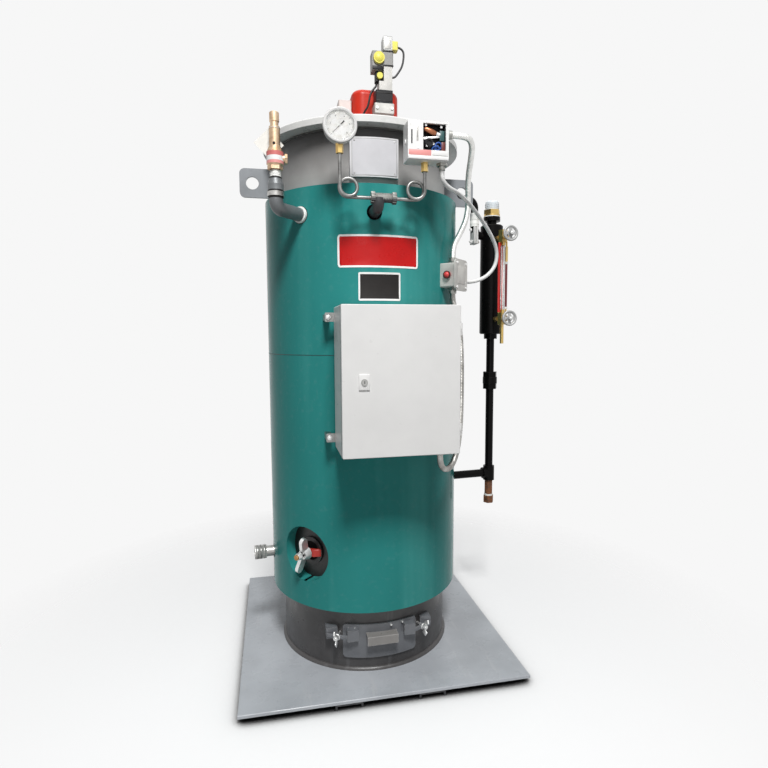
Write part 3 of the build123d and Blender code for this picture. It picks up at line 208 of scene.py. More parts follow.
def shade(name, description, red, green, blue):
    """A colour that a user may change, written as a display colour."""
    return FloatVectorProperty(
        name=name, description=description, subtype="COLOR", size=3, min=0, max=1,
        default=display(red, green, blue),
    )


def length(name, description, default):
    """A length that a user may change, in metres."""
    return FloatProperty(name=name, description=description, unit="LENGTH", default=default)


def angle(name, description, degrees):
    """An angle that a user may change, written in degrees."""
    return FloatProperty(
        name=name, description=description, unit="ROTATION", default=radians(degrees)
    )


def power(name, description, watts):
    """The power of a lamp that a user may change, in watts."""
    return FloatProperty(name=name, description=description, unit="POWER", default=watts)


class BoilerColours(bpy.types.PropertyGroup):
    """Colours of the paints, metals and plastics."""

    jacket: shade("Jacket", "Gloss enamel of the insulated jacket", 46, 134, 130)
    shell: shade("Shell", "Paint of the bare vessel above the jacket", 158, 156, 154)
    ring: shade("Top ring", "Enamel of the plate on top of the vessel", 210, 210, 207)
    plate: shade("Base plate", "Gloss enamel of the base plate", 182, 186, 191)
    skirt: shade("Skirt", "Heat-proof paint of the skirt", 74, 72, 72)
    cabinet: shade("Cabinet", "Powder coat of the control cabinet", 226, 225, 223)
    sign: shade("Sign", "Enamel of the large plate", 186, 18, 18)
    yoke: shade("Yoke", "Paint of the handhole yoke", 174, 44, 34)
    burner: shade("Burner", "Moulded hood of the burner", 188, 42, 24)
    brass: shade("Brass", "Brass of the valves and fittings", 206, 178, 144)
    conduit: shade("Conduit", "Ribbed steel of the flexible conduits", 236, 236, 233)
    column: shade("Water column", "Enamel of the water column", 11, 10, 10)


class BoilerSizes(bpy.types.PropertyGroup):
    """Sizes of the trim that dresses the solids."""

    conduit_diameter: length("Conduit", "Diameter over the ribs of the conduits", 0.022)
    rib_pitch: length("Rib pitch", "Distance between the ribs of the conduits", 0.006)
    cable_diameter: length("Cable", "Diameter of the level switch cable", 0.015)
    lead_diameter: length("Burner leads", "Diameter of the gas valve leads", 0.008)
    sign_width: length("Sign width", "Width of the large plate along the jacket", 0.304)
    sign_low: length("Sign foot", "Height of the large plate's lower edge", 1.580)
    sign_high: length("Sign top", "Height of the large plate's upper edge", 1.696)
    data_width: length("Data plate width", "Width of the small plate along the jacket", 0.155)
    data_low: length("Data plate foot", "Height of the small plate's lower edge", 1.462)
    data_high: length("Data plate top", "Height of the small plate's upper edge", 1.563)
    weld: length("Weld bead", "Leg of the weld beads", 0.007)
    dial_radius: length("Dial", "Radius of the gauge's dial inside its lining", 0.046)


class BoilerStage(bpy.types.PropertyGroup):
    """The camera and the studio light."""

    camera_place: FloatVectorProperty(
        name="Camera", description="Place of the camera", unit="LENGTH", size=3,
        default=(-0.38473, -2.33445, 1.34016),
    )
    camera_turn: angle("Turn", "Turn of the camera from straight ahead to the right", 11.623)
    camera_dip: angle("Dip", "Tilt of the camera below the horizon", 5.225)
    camera_roll: angle("Roll", "Roll of the camera", -0.284)
    lens: FloatProperty(name="Lens", description="Focal length in mm", default=25.35)
    key: power("Key light", "Lamp in front and high above", 300)
    fill: power("Fill light", "Large lamp in front", 14)
    top: power("Top light", "Softbox over the boiler", 14)
    back: power("Back light", "Lamp behind the boiler", 10)
    ambient: FloatProperty(
        name="Ambient", description="Strength of the room's own light", default=0.16
    )


class Finish:
    """One finish: layers of pattern over a Principled shader, on Object coordinates."""

    def __init__(self, name, metallic=0.0, **sockets):
        self.material = bpy.data.materials.new(name)
        self.material.use_nodes = True
        self.tree = self.material.node_tree
        self.shader = self.tree.nodes["Principled BSDF"]
        self.shader.inputs["Metallic"].default_value = metallic
        for socket, value in sockets.items():
            self.shader.inputs[socket.replace("_", " ")].default_value = value
        self.coords = self.make("ShaderNodeTexCoord").outputs["Object"]
        self.normal = None

    def make(self, kind):
        """A new node of that kind."""
        return self.tree.nodes.new(kind)

    def feed(self, value, socket):
        """Gives a socket a link, a colour or a number."""
        if isinstance(value, bpy.types.NodeSocket):
            self.tree.links.new(value, socket)
        elif socket.type == "RGBA":
            socket.default_value = (*value, 1)
        else:
            socket.default_value = value

    def noise(self, scale, detail, stretch=None):
        """Cloudy noise; stretch scales the pattern along X, Y and Z."""
        coords = self.coords
        if stretch:
            mapping = self.make("ShaderNodeMapping")
            mapping.inputs["Scale"].default_value = stretch
            self.feed(coords, mapping.inputs["Vector"])
            coords = mapping.outputs["Vector"]
        node = self.make("ShaderNodeTexNoise")
        self.feed(coords, node.inputs["Vector"])
        node.inputs["Scale"].default_value = scale
        node.inputs["Detail"].default_value = detail
        node.inputs["Roughness"].default_value = 0.55
        return node.outputs["Fac"]

    def grains(self, scale):
        """Cells, for cast and grainy skins."""
        node = self.make("ShaderNodeTexVoronoi")
        self.feed(self.coords, node.inputs["Vector"])
        node.inputs["Scale"].default_value = scale
        return node.outputs["Distance"]

    def levels(self, factor, start, end, first=0.0, last=1.0):
        """Stretches the part of a pattern between start and end to first and last."""
        node = self.make("ShaderNodeMapRange")
        self.feed(factor, node.inputs["Value"])
        for socket, value in (
            ("From Min", start), ("From Max", end), ("To Min", first), ("To Max", last),
        ):
            node.inputs[socket].default_value = value
        return node.outputs["Result"]

    def patches(self, scale, detail, start=0.35, end=0.70, stretch=None):
        """Soft patches of noise, none below start and full above end."""
        return self.levels(self.noise(scale, detail, stretch), start, end)

    def sheen(self, scale, detail, smooth, rough):
        """A roughness that wanders between two values."""
        return self.levels(self.noise(scale, detail), 0.3, 0.7, smooth, rough)

    def times(self, one, other, operation="MULTIPLY"):
        """Two patterns multiplied, or joined by another operation."""
        node = self.make("ShaderNodeMath")
        node.operation = operation
        self.feed(one, node.inputs[0])
        self.feed(other, node.inputs[1])
        return node.outputs["Value"]

    def height(self):
        """Height over the floor."""
        node = self.make("ShaderNodeSeparateXYZ")
        self.feed(self.coords, node.inputs["Vector"])
        return node.outputs["Z"]

    def edges(self, reach, gain):
        """Strong along the edges of the solid, where paint wears."""
        bevel = self.make("ShaderNodeBevel")
        bevel.samples = 4
        bevel.inputs["Radius"].default_value = reach
        true_normal = self.make("ShaderNodeNewGeometry").outputs["Normal"]
        turn = self.make("ShaderNodeVectorMath")
        turn.operation = "DOT_PRODUCT"
        self.feed(bevel.outputs["Normal"], turn.inputs[0])
        self.feed(true_normal, turn.inputs[1])
        worn = self.levels(turn.outputs["Value"], 1.0, 1.0 - 1.0 / gain)
        return self.times(worn, self.patches(60, 5.0, 0.4, 0.6))

    def mix(self, factor, first, second):
        """Two colours mixed by a pattern."""
        node = self.make("ShaderNodeMix")
        node.data_type = "RGBA"
        self.feed(factor, node.inputs["Factor"])
        self.feed(first, node.inputs[6])
        self.feed(second, node.inputs[7])
        return node.outputs[2]

    def bump(self, pattern, strength, distance):
        """Adds relief."""
        node = self.make("ShaderNodeBump")
        node.inputs["Strength"].default_value = strength
        node.inputs["Distance"].default_value = distance
        self.feed(pattern, node.inputs["Height"])
        if self.normal:
            self.feed(self.normal, node.inputs["Normal"])
        self.normal = node.outputs["Normal"]

    def done(self, colour, roughness):
        """Connects the layers and returns the material."""
        self.feed(colour, self.shader.inputs["Base Color"])
        self.feed(roughness, self.shader.inputs["Roughness"])
        if self.normal:
            self.feed(self.normal, self.shader.inputs["Normal"])
        return self.material


def dim(colour, share):
    """A colour taken down to a share of its light."""
    return tuple(tone * share for tone in colour)


def painted(name, colour, gloss, worn=0.0, grime=0.75, bare=(0.30, 0.29, 0.28), **sockets):
    """Brushed or sprayed paint with soft blotches, fine peel and worn edges."""
    coat = Finish(name, **sockets)
    blotch = coat.patches(9, 5.0, 0.35, 0.72)
    skin = coat.mix(blotch, colour, dim(colour, grime))
    if worn:
        edge = coat.times(coat.edges(0.003, 4.0), worn)
        skin = coat.mix(edge, skin, bare)
    coat.bump(coat.noise(650, 2.0), 0.10, 0.0006)
    return coat.done(skin, coat.sheen(34, 4.0, gloss * 0.8, gloss * 1.25))


def metal(name, colour, gloss, tarnish=None, relief=0.12):
    """Bare metal with handling marks and a dull tarnish."""
    coat = Finish(name, metallic=1.0)
    cloud = coat.patches(26, 5.0, 0.38, 0.70)
    skin = coat.mix(cloud, colour, tarnish or dim(colour, 0.72))
    brushed = coat.noise(240, 3.0)
    coat.bump(brushed, relief, 0.0005)
    return coat.done(skin, coat.levels(brushed, 0.3, 0.7, gloss * 0.75, gloss * 1.3))


def cast(name, colour, gloss, metallic, pits=520):
    """Rough cast metal, painted or bare."""
    coat = Finish(name, metallic=metallic)
    skin = coat.mix(coat.patches(14, 6.0), colour, dim(colour, 0.62))
    coat.bump(coat.noise(pits, 4.0), 0.35, 0.0012)
    coat.bump(coat.grains(pits / 3), 0.12, 0.0008)
    return coat.done(skin, coat.sheen(60, 3.0, gloss * 0.85, gloss * 1.2))


def moulded(name, colour, gloss, grain=900, **sockets):
    """Moulded plastic or rubber with a fine grain."""
    coat = Finish(name, **sockets)
    skin = coat.mix(coat.patches(20, 4.0, 0.35, 0.75), colour, dim(colour, 0.82))
    coat.bump(coat.noise(grain, 2.0), 0.10, 0.0004)
    return coat.done(skin, coat.sheen(45, 3.0, gloss * 0.85, gloss * 1.2))


def jacket_enamel(colours):
    """Gloss enamel on thin rolled sheet: soft dents, orange peel, faint dust and painted
    reflection streaks.
    """
    coat = Finish("jacket_enamel", Specular_IOR_Level=0.06)
    cloud = coat.patches(2.2, 4.0, 0.35, 0.72, stretch=(1, 1, 0.4))
    skin = coat.mix(cloud, colours.jacket, dim(colours.jacket, 0.80))
    # Painted reflection: faint pale upright streaks, like lamps mirrored in the gloss.
    reflection_streaks = coat.patches(6.5, 3.0, 0.48, 0.66, stretch=(1, 1, 0.05))
    skin = coat.mix(coat.times(reflection_streaks, 0.32), skin, display(88, 166, 160))
    dust = coat.times(coat.patches(46, 6.0, 0.55, 0.85), 0.08)
    skin = coat.mix(dust, skin, (0.36, 0.44, 0.42))
    coat.bump(coat.noise(3.4, 2.0, stretch=(1, 1, 0.22)), 0.30, 0.014)
    coat.bump(coat.noise(700, 2.0), 0.05, 0.0005)
    return coat.done(skin, coat.sheen(12, 4.0, 0.14, 0.24))


def shell_paint(colours):
    """Grey heat paint, with a painted shadow of the top plate's overhang towards the top and
    painted shade where the shell stands inside the jacket.
    """
    coat = Finish("shell_paint")
    cloud = coat.patches(7, 6.0)
    skin = coat.mix(cloud, colours.shell, dim(colours.shell, 0.78))
    # Painted shadow: the shell darkens along a ragged edge towards the top plate, as under the
    # shadow of the plate's overhang.
    ragged = coat.times(coat.height(), coat.levels(coat.noise(5, 3.0), 0, 1, -0.012, 0.012), "ADD")
    top_plate_shadow = coat.levels(ragged, SHELL_TOP - 0.150, SHELL_TOP - 0.030)
    skin = coat.mix(top_plate_shadow, skin, dim(colours.shell, 0.11))
    # Painted shade: below the jacket's top the shell goes almost black, as the shade inside the
    # jacket's openings.
    shade_inside_jacket = coat.levels(coat.height(), JACKET_TOP - 0.040, JACKET_TOP - 0.080)
    skin = coat.mix(shade_inside_jacket, skin, dim(colours.shell, 0.03))
    coat.bump(coat.noise(420, 3.0), 0.16, 0.0008)
    return coat.done(skin, coat.sheen(24, 4.0, 0.34, 0.52))


def plate_enamel(colours):
    """Gloss floor enamel with scuffs, drag marks and dust."""
    coat = Finish("plate_enamel", Specular_IOR_Level=0.3)
    cloud = coat.patches(3.2, 5.0)
    skin = coat.mix(cloud, colours.plate, dim(colours.plate, 0.72))
    scuffs = coat.patches(30, 6.0, 0.60, 0.68, stretch=(1, 0.12, 1))
    skin = coat.mix(coat.times(scuffs, 0.30), skin, (0.52, 0.53, 0.54))
    edge = coat.times(coat.edges(0.003, 3.0), 0.8)
    skin = coat.mix(edge, skin, (0.16, 0.15, 0.14))
    coat.bump(coat.noise(380, 3.0), 0.08, 0.0008)
    return coat.done(skin, coat.sheen(16, 5.0, 0.20, 0.42))


def skirt_paint(colours):
    """Dark heat-proof paint with pale runs and rub marks."""
    coat = Finish("skirt_paint")
    cloud = coat.patches(8, 6.0)
    skin = coat.mix(cloud, colours.skirt, dim(colours.skirt, 0.55))
    runs = coat.patches(22, 5.0, 0.58, 0.74, stretch=(1, 1, 0.08))
    skin = coat.mix(coat.times(runs, 0.35), skin, (0.22, 0.22, 0.23))
    coat.bump(coat.noise(420, 3.0), 0.14, 0.0008)
    return coat.done(skin, coat.sheen(20, 5.0, 0.24, 0.44))


def rusty_iron():
    """Cast iron with rust scale."""
    coat = Finish("rusty_iron", metallic=0.2)
    scale = coat.patches(90, 8.0, 0.40, 0.62)
    skin = coat.mix(scale, display(92, 62, 44), display(136, 84, 50))
    coat.bump(coat.noise(420, 6.0), 0.5, 0.0015)
    return coat.done(skin, coat.levels(scale, 0, 1, 0.6, 0.85))


def clear_glass():
    """Clear glass with faint wipe marks."""
    coat = Finish("clear_glass", Transmission_Weight=1.0, IOR=1.47)
    tint = (0.98, 0.98, 0.98)
    smear = coat.noise(70, 4.0, stretch=(1, 1, 0.2))
    skin = coat.mix(coat.levels(smear, 0.4, 0.8), tint, dim(tint, 0.94))
    return coat.done(skin, coat.levels(smear, 0.35, 0.75, 0.02, 0.10))


def dial_paper():
    """White printed dial with faint yellow clouds."""
    coat = Finish("dial_white")
    cloud = coat.patches(60, 4.0, 0.4, 0.8)
    return coat.done(coat.mix(cloud, display(240, 240, 238), display(226, 224, 216)), 0.45)


def mix_finishes(colours):
    """Makes every finish once."""
    jacket_enamel(colours)
    shell_paint(colours)
    plate_enamel(colours)
    skirt_paint(colours)
    rusty_iron()
    dial_paper()
    clear_glass()
    mix_paints(colours)
    mix_metals(colours)
    mix_plastics(colours)


def mix_paints(colours):
    """Makes the paints, prints and enamels."""
    painted("skid_paint", display(52, 53, 56), 0.45, worn=0.5)
    painted("lug_paint", display(136, 139, 143), 0.40, worn=0.35)
    painted("ring_enamel", colours.ring, 0.30, worn=0.25, grime=0.86)
    painted("yoke_paint", colours.yoke, 0.34, worn=0.4)
    painted("door_steel", display(108, 110, 114), 0.36, worn=0.6, grime=0.66)
    painted(
        "handle_steel", display(136, 133, 130), 0.32, worn=0.8, grime=0.8, bare=(0.62, 0.61, 0.60)
    )
    painted("column_enamel", colours.column, 0.30, worn=0.10, Specular_IOR_Level=0.08)
    painted("switch_enamel", display(232, 231, 229), 0.32, grime=0.93)
    painted("cabinet_enamel", colours.cabinet, 0.34, grime=0.95)
    painted("sign_red", colours.sign, 0.30, grime=0.86, Specular_IOR_Level=0.25)
    painted("sign_white", display(236, 236, 234), 0.30, grime=0.94)
    painted("sign_black", display(40, 37, 36), 0.42, grime=0.7, Specular_IOR_Level=0.2)
    painted("label_pink", display(226, 150, 146), 0.45, grime=0.9)
    painted("plate_silver", display(202, 201, 204), 0.38, grime=0.86, Specular_IOR_Level=0.3)
    painted("label_red", display(198, 44, 40), 0.40, grime=0.88)
    painted("ink_black", display(26, 26, 28), 0.50, Specular_IOR_Level=0.2)
    painted("bracket_alloy", display(212, 211, 212), 0.42, grime=0.88, Specular_IOR_Level=0.3)
    painted("bezel_alloy", display(206, 205, 203), 0.40, grime=0.86, Specular_IOR_Level=0.3)
    # The grey of the painted shadow line round the cabinet door's mouth.
    painted("gap_shadow_grey", display(120, 120, 122), 0.6, Specular_IOR_Level=0.2)
    painted("handhole_iron", display(24, 23, 22), 0.60, Specular_IOR_Level=0.1)
    painted("label_rose", display(206, 112, 108), 0.50, grime=0.85)


def mix_metals(colours):
    """Makes the bare and the cast metals."""
    metal("bright_steel", display(206, 206, 204), 0.24, relief=0.10)
    metal("lock_steel", display(160, 160, 158), 0.36, tarnish=display(126, 126, 124))
    metal("brass", colours.brass, 0.38, tarnish=display(164, 130, 94))
    metal("valve_bronze", display(210, 185, 156), 0.42, tarnish=display(150, 116, 86), relief=0.25)
    metal("tube_steel", display(138, 138, 136), 0.38, tarnish=display(96, 96, 95))
    metal("galvanised", display(188, 187, 184), 0.36, tarnish=display(132, 130, 127), relief=0.2)
    metal("zinc", display(172, 172, 168), 0.42, tarnish=display(136, 136, 132))
    metal("stud_brass", display(186, 150, 104), 0.46, tarnish=display(140, 96, 58))
    metal("copper", display(172, 112, 82), 0.36)
    metal("burner_alloy", display(212, 212, 210), 0.36, relief=0.25)
    metal("conduit_steel", colours.conduit, 0.40, tarnish=display(206, 206, 203))
    metal("conduit_dull", display(176, 174, 170), 0.42, tarnish=display(126, 124, 120))
    cast("wheel_alloy", display(188, 188, 187), 0.48, 0.3)
    cast("valve_alloy", display(190, 188, 183), 0.46, 0.2, pits=420)
    cast("branch_iron", display(58, 58, 60), 0.46, 0.3)
    cast("pipe_iron", display(118, 121, 123), 0.42, 0.35)
    cast("cast_alloy", display(204, 202, 197), 0.44, 0.35, pits=380)
    cast("weld_steel", display(128, 127, 124), 0.40, 0.4, pits=300)


def mix_plastics(colours):
    """Makes the plastics, rubbers, tapes and papers."""
    moulded("sleeve_maroon", display(108, 36, 40), 0.45)
    moulded("grey_plastic", display(128, 127, 124), 0.44)
    moulded("white_plastic", display(206, 206, 203), 0.42)
    moulded("seam_dark", display(14, 58, 56), 0.50)
    moulded("terminal_green", display(38, 78, 78), 0.42)
    moulded("terminal_brown", display(104, 40, 34), 0.42)
    moulded("lamp_red", display(196, 30, 26), 0.18, Coat_Weight=0.4)
    moulded("probe_plastic", display(226, 232, 236), 0.22, Coat_Weight=0.3)
    moulded("burner_plastic", colours.burner, 0.34, grain=500, Specular_IOR_Level=0.22)
    moulded("box_plastic", display(212, 198, 192), 0.42)
    moulded("coil_plastic", display(26, 26, 28), 0.46, grain=500, Specular_IOR_Level=0.2)
    moulded("cap_plastic", display(222, 212, 96), 0.40, Specular_IOR_Level=0.3)
    moulded("gland_plastic", display(34, 34, 35), 0.44, grain=500, Specular_IOR_Level=0.2)
    moulded("lead_rubber", display(22, 22, 23), 0.50, grain=700)
    moulded("cable_sheath", display(232, 232, 230), 0.46, grain=700)
    moulded("wire_blue", display(48, 92, 168), 0.40)
    moulded("thread_tape", display(236, 236, 232), 0.62, grain=420)
    moulded("tag_paper", display(234, 232, 226), 0.80, grain=300)


def material(name):
    """A finish by its name."""
    return bpy.data.materials[name]


def upright(x, y, z):
    """A place that stands on a level face, Z up."""
    return Matrix.Translation((x, y, z))


def shift(x=0, y=0, z=0):
    """A step in millimetres along the X, Y and Z of a place."""
    return upright(x * MM, y * MM, z * MM)


def spun(degrees, axis="Z"):
    """A turn about one axis of a place."""
    return Matrix.Rotation(radians(degrees), 4, axis)


def on_front(x, y, z):
    """A place that faces the front: X to the right, Y up and Z towards the viewer."""
    return upright(x, y, z) @ spun(90, "X")


def on_wall(azimuth, radius, height):
    """A place on a round wall, degrees from the front: X along it, Y up and Z outwards."""
    return spun(azimuth) @ on_front(0, -radius, height)


def along_x(x, y, z):
    """A place whose Z points to the right."""
    return upright(x, y, z) @ spun(90, "Y")


def softened(form, geom, offset, segments, affect="EDGES"):
    """Rounds edges or corners of a form."""
    bmesh.ops.bevel(
        form, geom=geom, offset=offset, affect=affect, segments=segments, profile=0.5,
        material=-1,
    )


def verts_of(geom):
    """The vertices among the parts that an operator made."""
    return [part for part in geom if isinstance(part, bmesh.types.BMVert)]


# The forms below are drawn in millimetres; join() brings them to metres.
def turned(outline, segments=48):
    """A round form: an outline of (radius, height) points spun about Z."""
    form = bmesh.new()
    points = [form.verts.new((radius, 0, rise)) for radius, rise in outline]
    lines = [form.edges.new(pair) for pair in zip(points, points[1:])]
    bmesh.ops.spin(
        form, geom=points + lines, cent=(0, 0, 0), axis=(0, 0, 1), angle=tau, steps=segments,
        use_merge=True,
    )
    return form


def hollow(outline, segments=48):
    """A round form with a bore: an outline that closes on itself, spun about Z."""
    return turned([*outline, outline[0]], segments)


def ring(inner, outer, depth, segments=48):
    """A flat ring, standing on its lower face."""
    return hollow([(inner, 0), (outer, 0), (outer, depth), (inner, depth)], segments)


def stud(radius, rise, tip, lead, segments):
    """A round bar whose end narrows to the tip's radius over the lead."""
    return turned([(0, 0), (radius, 0), (radius, rise - lead), (tip, rise), (0, rise)], segments)


def disc(radius, depth, edge, segments=32):
    """A disc with a chamfered upper edge."""
    return stud(radius, depth, radius - edge, edge, segments)


def rivet(radius, rise, shoulder, shoulder_rise):
    """The low dome of a rivet."""
    return turned([(0, rise), (shoulder, shoulder_rise), (radius, 0), (0, 0)], 16)


def block(width, depth, rise, edge, rounds=2):
    """A block with rounded edges, standing on its lower face."""
    edge = min(edge, 0.42 * min(width, depth, rise))
    form = bmesh.new()
    bmesh.ops.create_cube(form, size=1)
    bmesh.ops.scale(form, vec=(width, depth, rise), verts=form.verts)
    bmesh.ops.translate(form, vec=(0, 0, rise / 2), verts=form.verts)
    softened(form, form.edges, edge, rounds)
    return form


def hex_head(across, rise):
    """A hexagon head with its upper corners taken off."""
    form = bmesh.new()
    reach = across / 2 / cos(pi / 6)
    bmesh.ops.create_cone(
        form, cap_ends=True, segments=6, radius1=reach, radius2=reach, depth=rise
    )
    bmesh.ops.translate(form, vec=(0, 0, rise / 2), verts=form.verts)
    rim = [edge for edge in form.edges if all(vert.co.z > rise * 0.9 for vert in edge.verts)]
    softened(form, rim, rise * 0.16, 2)
    return form


def socket_screw(radius, rise):
    """A round screw head with a sunk socket."""
    return turned(
        [(0, 0), (radius, 0), (radius, rise * 0.7), (radius * 0.85, rise), (radius * 0.45, rise),
         (radius * 0.40, rise * 0.5), (0, rise * 0.5)],
        20,
    )


def cord_ring(radius, thickness):
    """A round ring of wire or cord."""
    around = [tau * step / 10 for step in range(11)]
    return turned([(radius + thickness * cos(a), thickness * sin(a)) for a in around], 32)


def wound_tape(bore, turns, pitch, lap, thickness, rise, segments):
    """Tape wound round a thread: every turn slopes down to the next one."""
    outline = [(bore, 0)]
    for turn, outer in enumerate(turns):
        outline += [(outer, turn * pitch), (outer - thickness, (turn + lap) * pitch)]
    return hollow([*outline, (bore, rise)], segments)


def rod_sleeve(run):
    """A tube that slips over a guard rod, with chamfered ends."""
    return hollow([(4.1, 0), (5.4, 1), (5.4, run - 1), (4.1, run)], 20)


def weld_bead(radius, leg):
    """A weld bead round an upright cylinder."""
    inner = radius - leg * 0.5
    return hollow(
        [(inner, 0), (radius + leg * 0.8, 0), (radius + leg * 0.7, leg * 0.35),
         (radius + leg * 0.35, leg * 0.7), (radius, leg * 0.9), (inner, leg * 0.9)],
        160,
    )


def straight_bead(run, leg):
    """A weld bead along Z in a square corner."""
    form = bmesh.new()
    bmesh.ops.create_cone(
        form, cap_ends=True, segments=14, radius1=leg * 0.6, radius2=leg * 0.6, depth=run
    )
    sides = [
        edge for edge in form.edges if abs(edge.verts[0].co.z - edge.verts[1].co.z) > MERGE
    ]
    bmesh.ops.subdivide_edges(form, edges=sides, cuts=11)
    bmesh.ops.smooth_vert(form, verts=form.verts, factor=0.3, use_axis_x=True, use_axis_y=True)
    return form


def figure(words, rise):
    """A printed figure, thin and centred."""
    print_curve = bpy.data.curves.new("figure", "FONT")
    print_curve.body = words
    print_curve.size = rise
    print_curve.align_x = "CENTER"
    print_curve.align_y = "CENTER"
    print_curve.extrude = 0.1
    carrier = bpy.data.objects.new("figure", print_curve)
    bpy.context.scene.collection.objects.link(carrier)
    bpy.context.view_layer.update()
    mesh = bpy.data.meshes.new_from_object(carrier)
    form = bmesh.new()
    form.from_mesh(mesh)
    bpy.data.objects.remove(carrier)
    bpy.data.curves.remove(print_curve)
    bpy.data.meshes.remove(mesh)
    return form


def hand(reach, tail, width, depth):
    """A gauge hand along Y: a fine point and a broad tail."""
    form = bmesh.new()
    outline = (
        (-0.2, reach), (0.2, reach), (0.5, 0), (1.2, -tail), (-1.2, -tail), (-0.5, 0),
    )
    face = form.faces.new([form.verts.new((x * width, y, 0)) for x, y in outline])
    grown = bmesh.ops.extrude_face_region(form, geom=[face], use_keep_orig=True)["geom"]
    bmesh.ops.translate(form, vec=(0, 0, depth), verts=verts_of(grown))
    return form


def paper_tag(width, rise, lean):
    """A thin tag on its corner, with a soft curl."""
    form = bmesh.new()
    bmesh.ops.create_grid(form, x_segments=10, y_segments=10, size=0.5)
    bmesh.ops.scale(form, vec=(width, rise, 1), verts=form.verts)
    bmesh.ops.rotate(form, cent=(0, 0, 0), matrix=spun(lean).to_3x3(), verts=form.verts)
    for vert in form.verts:
        vert.co.z = 5 * sin(vert.co.x / 38) - 2 * cos(vert.co.y / 30)
    bmesh.ops.solidify(form, geom=form.faces, thickness=0.5)
    return form


# Sets of forms: each form with its place and the number of its finish.
def hex_bolt(where, across, skin=0):
    """A washer, a hexagon head and the rounded end of the stud."""
    flat, end = across * 0.12, across * 0.3
    return [
        (disc(across * 0.72, flat, flat * 0.3), where, skin),
        (hex_head(across, across * 0.6), where @ shift(z=flat), skin),
        (disc(end, end, end * 0.3, 20), where @ shift(z=flat + across * 0.58), skin),
    ]


def wing_nut(where, hub, rise, reach, skin=0):
    """A nut with a tapered hub and two rounded ears that lean outwards."""
    bore = hub * 0.45
    nut = [(hollow([(bore, 0), (hub, 0), (hub * 0.8, rise), (bore, rise)], 24), where, skin)]
    for side in (-1, 1):
        ear = block(reach * 0.62, hub * 0.5, reach * 0.8, hub * 0.22, 3)
        seat = where @ shift(side * (hub + reach * 0.12), 0, rise * 0.15)
        nut.append((ear, seat @ spun(side * 28, "Y"), skin))
    return nut


def strip_frame(where, wide, tall, inset, *section):
    """Four strips round an opening; section is a strip's width, rise, edge and rounds."""
    return [
        (block(run, *section), where @ spun(turn) @ shift(y=side * (across - inset) / 2), 0)
        for turn, run, across in ((0, wide, tall), (90, tall, wide)) for side in (-1, 1)
    ]


def join(shape, form, where, skin):
    """Puts a form into a piece, at its place and in one of the piece's finishes."""
    bmesh.ops.remove_doubles(form, verts=form.verts, dist=MERGE)
    bmesh.ops.recalc_face_normals(form, faces=form.faces)
    bmesh.ops.transform(form, matrix=where @ Matrix.Scale(MM, 4), verts=form.verts)
    for face in form.faces:
        face.material_index = skin
    carrier = bpy.data.meshes.new("carrier")
    form.to_mesh(carrier)
    form.free()
    shape.from_mesh(carrier)
    bpy.data.meshes.remove(carrier)


def settle(name, shape, finishes, body=BOILER, crease=35):
    """Makes a finished piece of a shape and lets it ride on a body."""
    mesh = bpy.data.meshes.new(name)
    shape.to_mesh(mesh)
    shape.free()
    for finish in finishes:
        mesh.materials.append(material(finish))
    mesh.shade_smooth()
    mesh.set_sharp_from_angle(angle=radians(crease))
    piece = bpy.data.objects.new(name, mesh)
    bpy.context.scene.collection.objects.link(piece)
    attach(piece, body)
    return piece


def assemble(name, parts, finishes, body=BOILER, crease=35):
    """Makes one piece of forms, each with its place and the number of its finish."""
    shape = bmesh.new()
    for form, where, skin in parts:
        join(shape, form, where, skin)
    return settle(name, shape, finishes, body, crease)


def route_points(points):
    """A smooth curve on the control points, and the points along it."""
    curve = bpy.data.curves.new("route", "CURVE")
    curve.dimensions = "3D"
    curve.resolution_u = 24
    spline = curve.splines.new("NURBS")
    spline.points.add(len(points) - 1)
    for point, place in zip(spline.points, points):
        point.co = (*place, 1)
    spline.order_u = 3
    spline.use_endpoint_u = True
    carrier = bpy.data.objects.new("route", curve)
    bpy.context.scene.collection.objects.link(carrier)
    bpy.context.view_layer.update()
    line = bpy.data.meshes.new_from_object(carrier)
    along = [vert.co.copy() for vert in line.vertices]
    bpy.data.objects.remove(carrier)
    bpy.data.meshes.remove(line)
    return curve, along


def even_steps(points, step):
    """Places at even distances along a line of points, the two ends among them."""
    reach = sum((b - a).length for a, b in zip(points, points[1:]))
    count = round(reach / step)
    step = reach / count
    places, walked, due = [points[0]], 0.0, step
    for a, b in zip(points, points[1:]):
        run = (b - a).length
        while run > 0 and walked + run >= due and len(places) < count:
            places.append(a.lerp(b, (due - walked) / run))
            due += step
        walked += run
    return places + [points[-1]]


def ribbed_hose(along, diameter, pitch):
    """A ribbed hose in metres: a ring drawn along the route, wide and narrow by turns."""
    wide = (1.0, 1.0, RIB_WAIST, RIB_WAIST)
    places = even_steps(along, pitch / len(wide))
    heading = (places[1] - places[0]).normalized()
    start = heading.to_track_quat("Z", "Y").to_matrix().to_4x4()
    start.translation = places[0]
    form = bmesh.new()
    bmesh.ops.create_circle(form, radius=diameter / 2, segments=16, matrix=start)
    rim = form.edges[:]
    girth = 1.0
    for number in range(1, len(places)):
        after = places[min(number + 1, len(places) - 1)]
        aim = (after - places[number - 1]).normalized()
        turn = heading.rotation_difference(aim).to_matrix().to_4x4()
        grown = bmesh.ops.extrude_edge_only(form, edges=rim)["geom"]
        swell = wide[number % len(wide)] / girth
        move = (
            Matrix.Translation(places[number]) @ turn @ Matrix.Scale(swell, 4)
            @ Matrix.Translation(-places[number - 1])
        )
        bmesh.ops.transform(form, matrix=move, verts=verts_of(grown))
        rim = [part for part in grown if isinstance(part, bmesh.types.BMEdge) and part.is_boundary]
        heading, girth = aim, wide[number % len(wide)]
    bmesh.ops.holes_fill(form, edges=[edge for edge in form.edges if edge.is_boundary])
    bmesh.ops.recalc_face_normals(form, faces=form.faces)
    return form


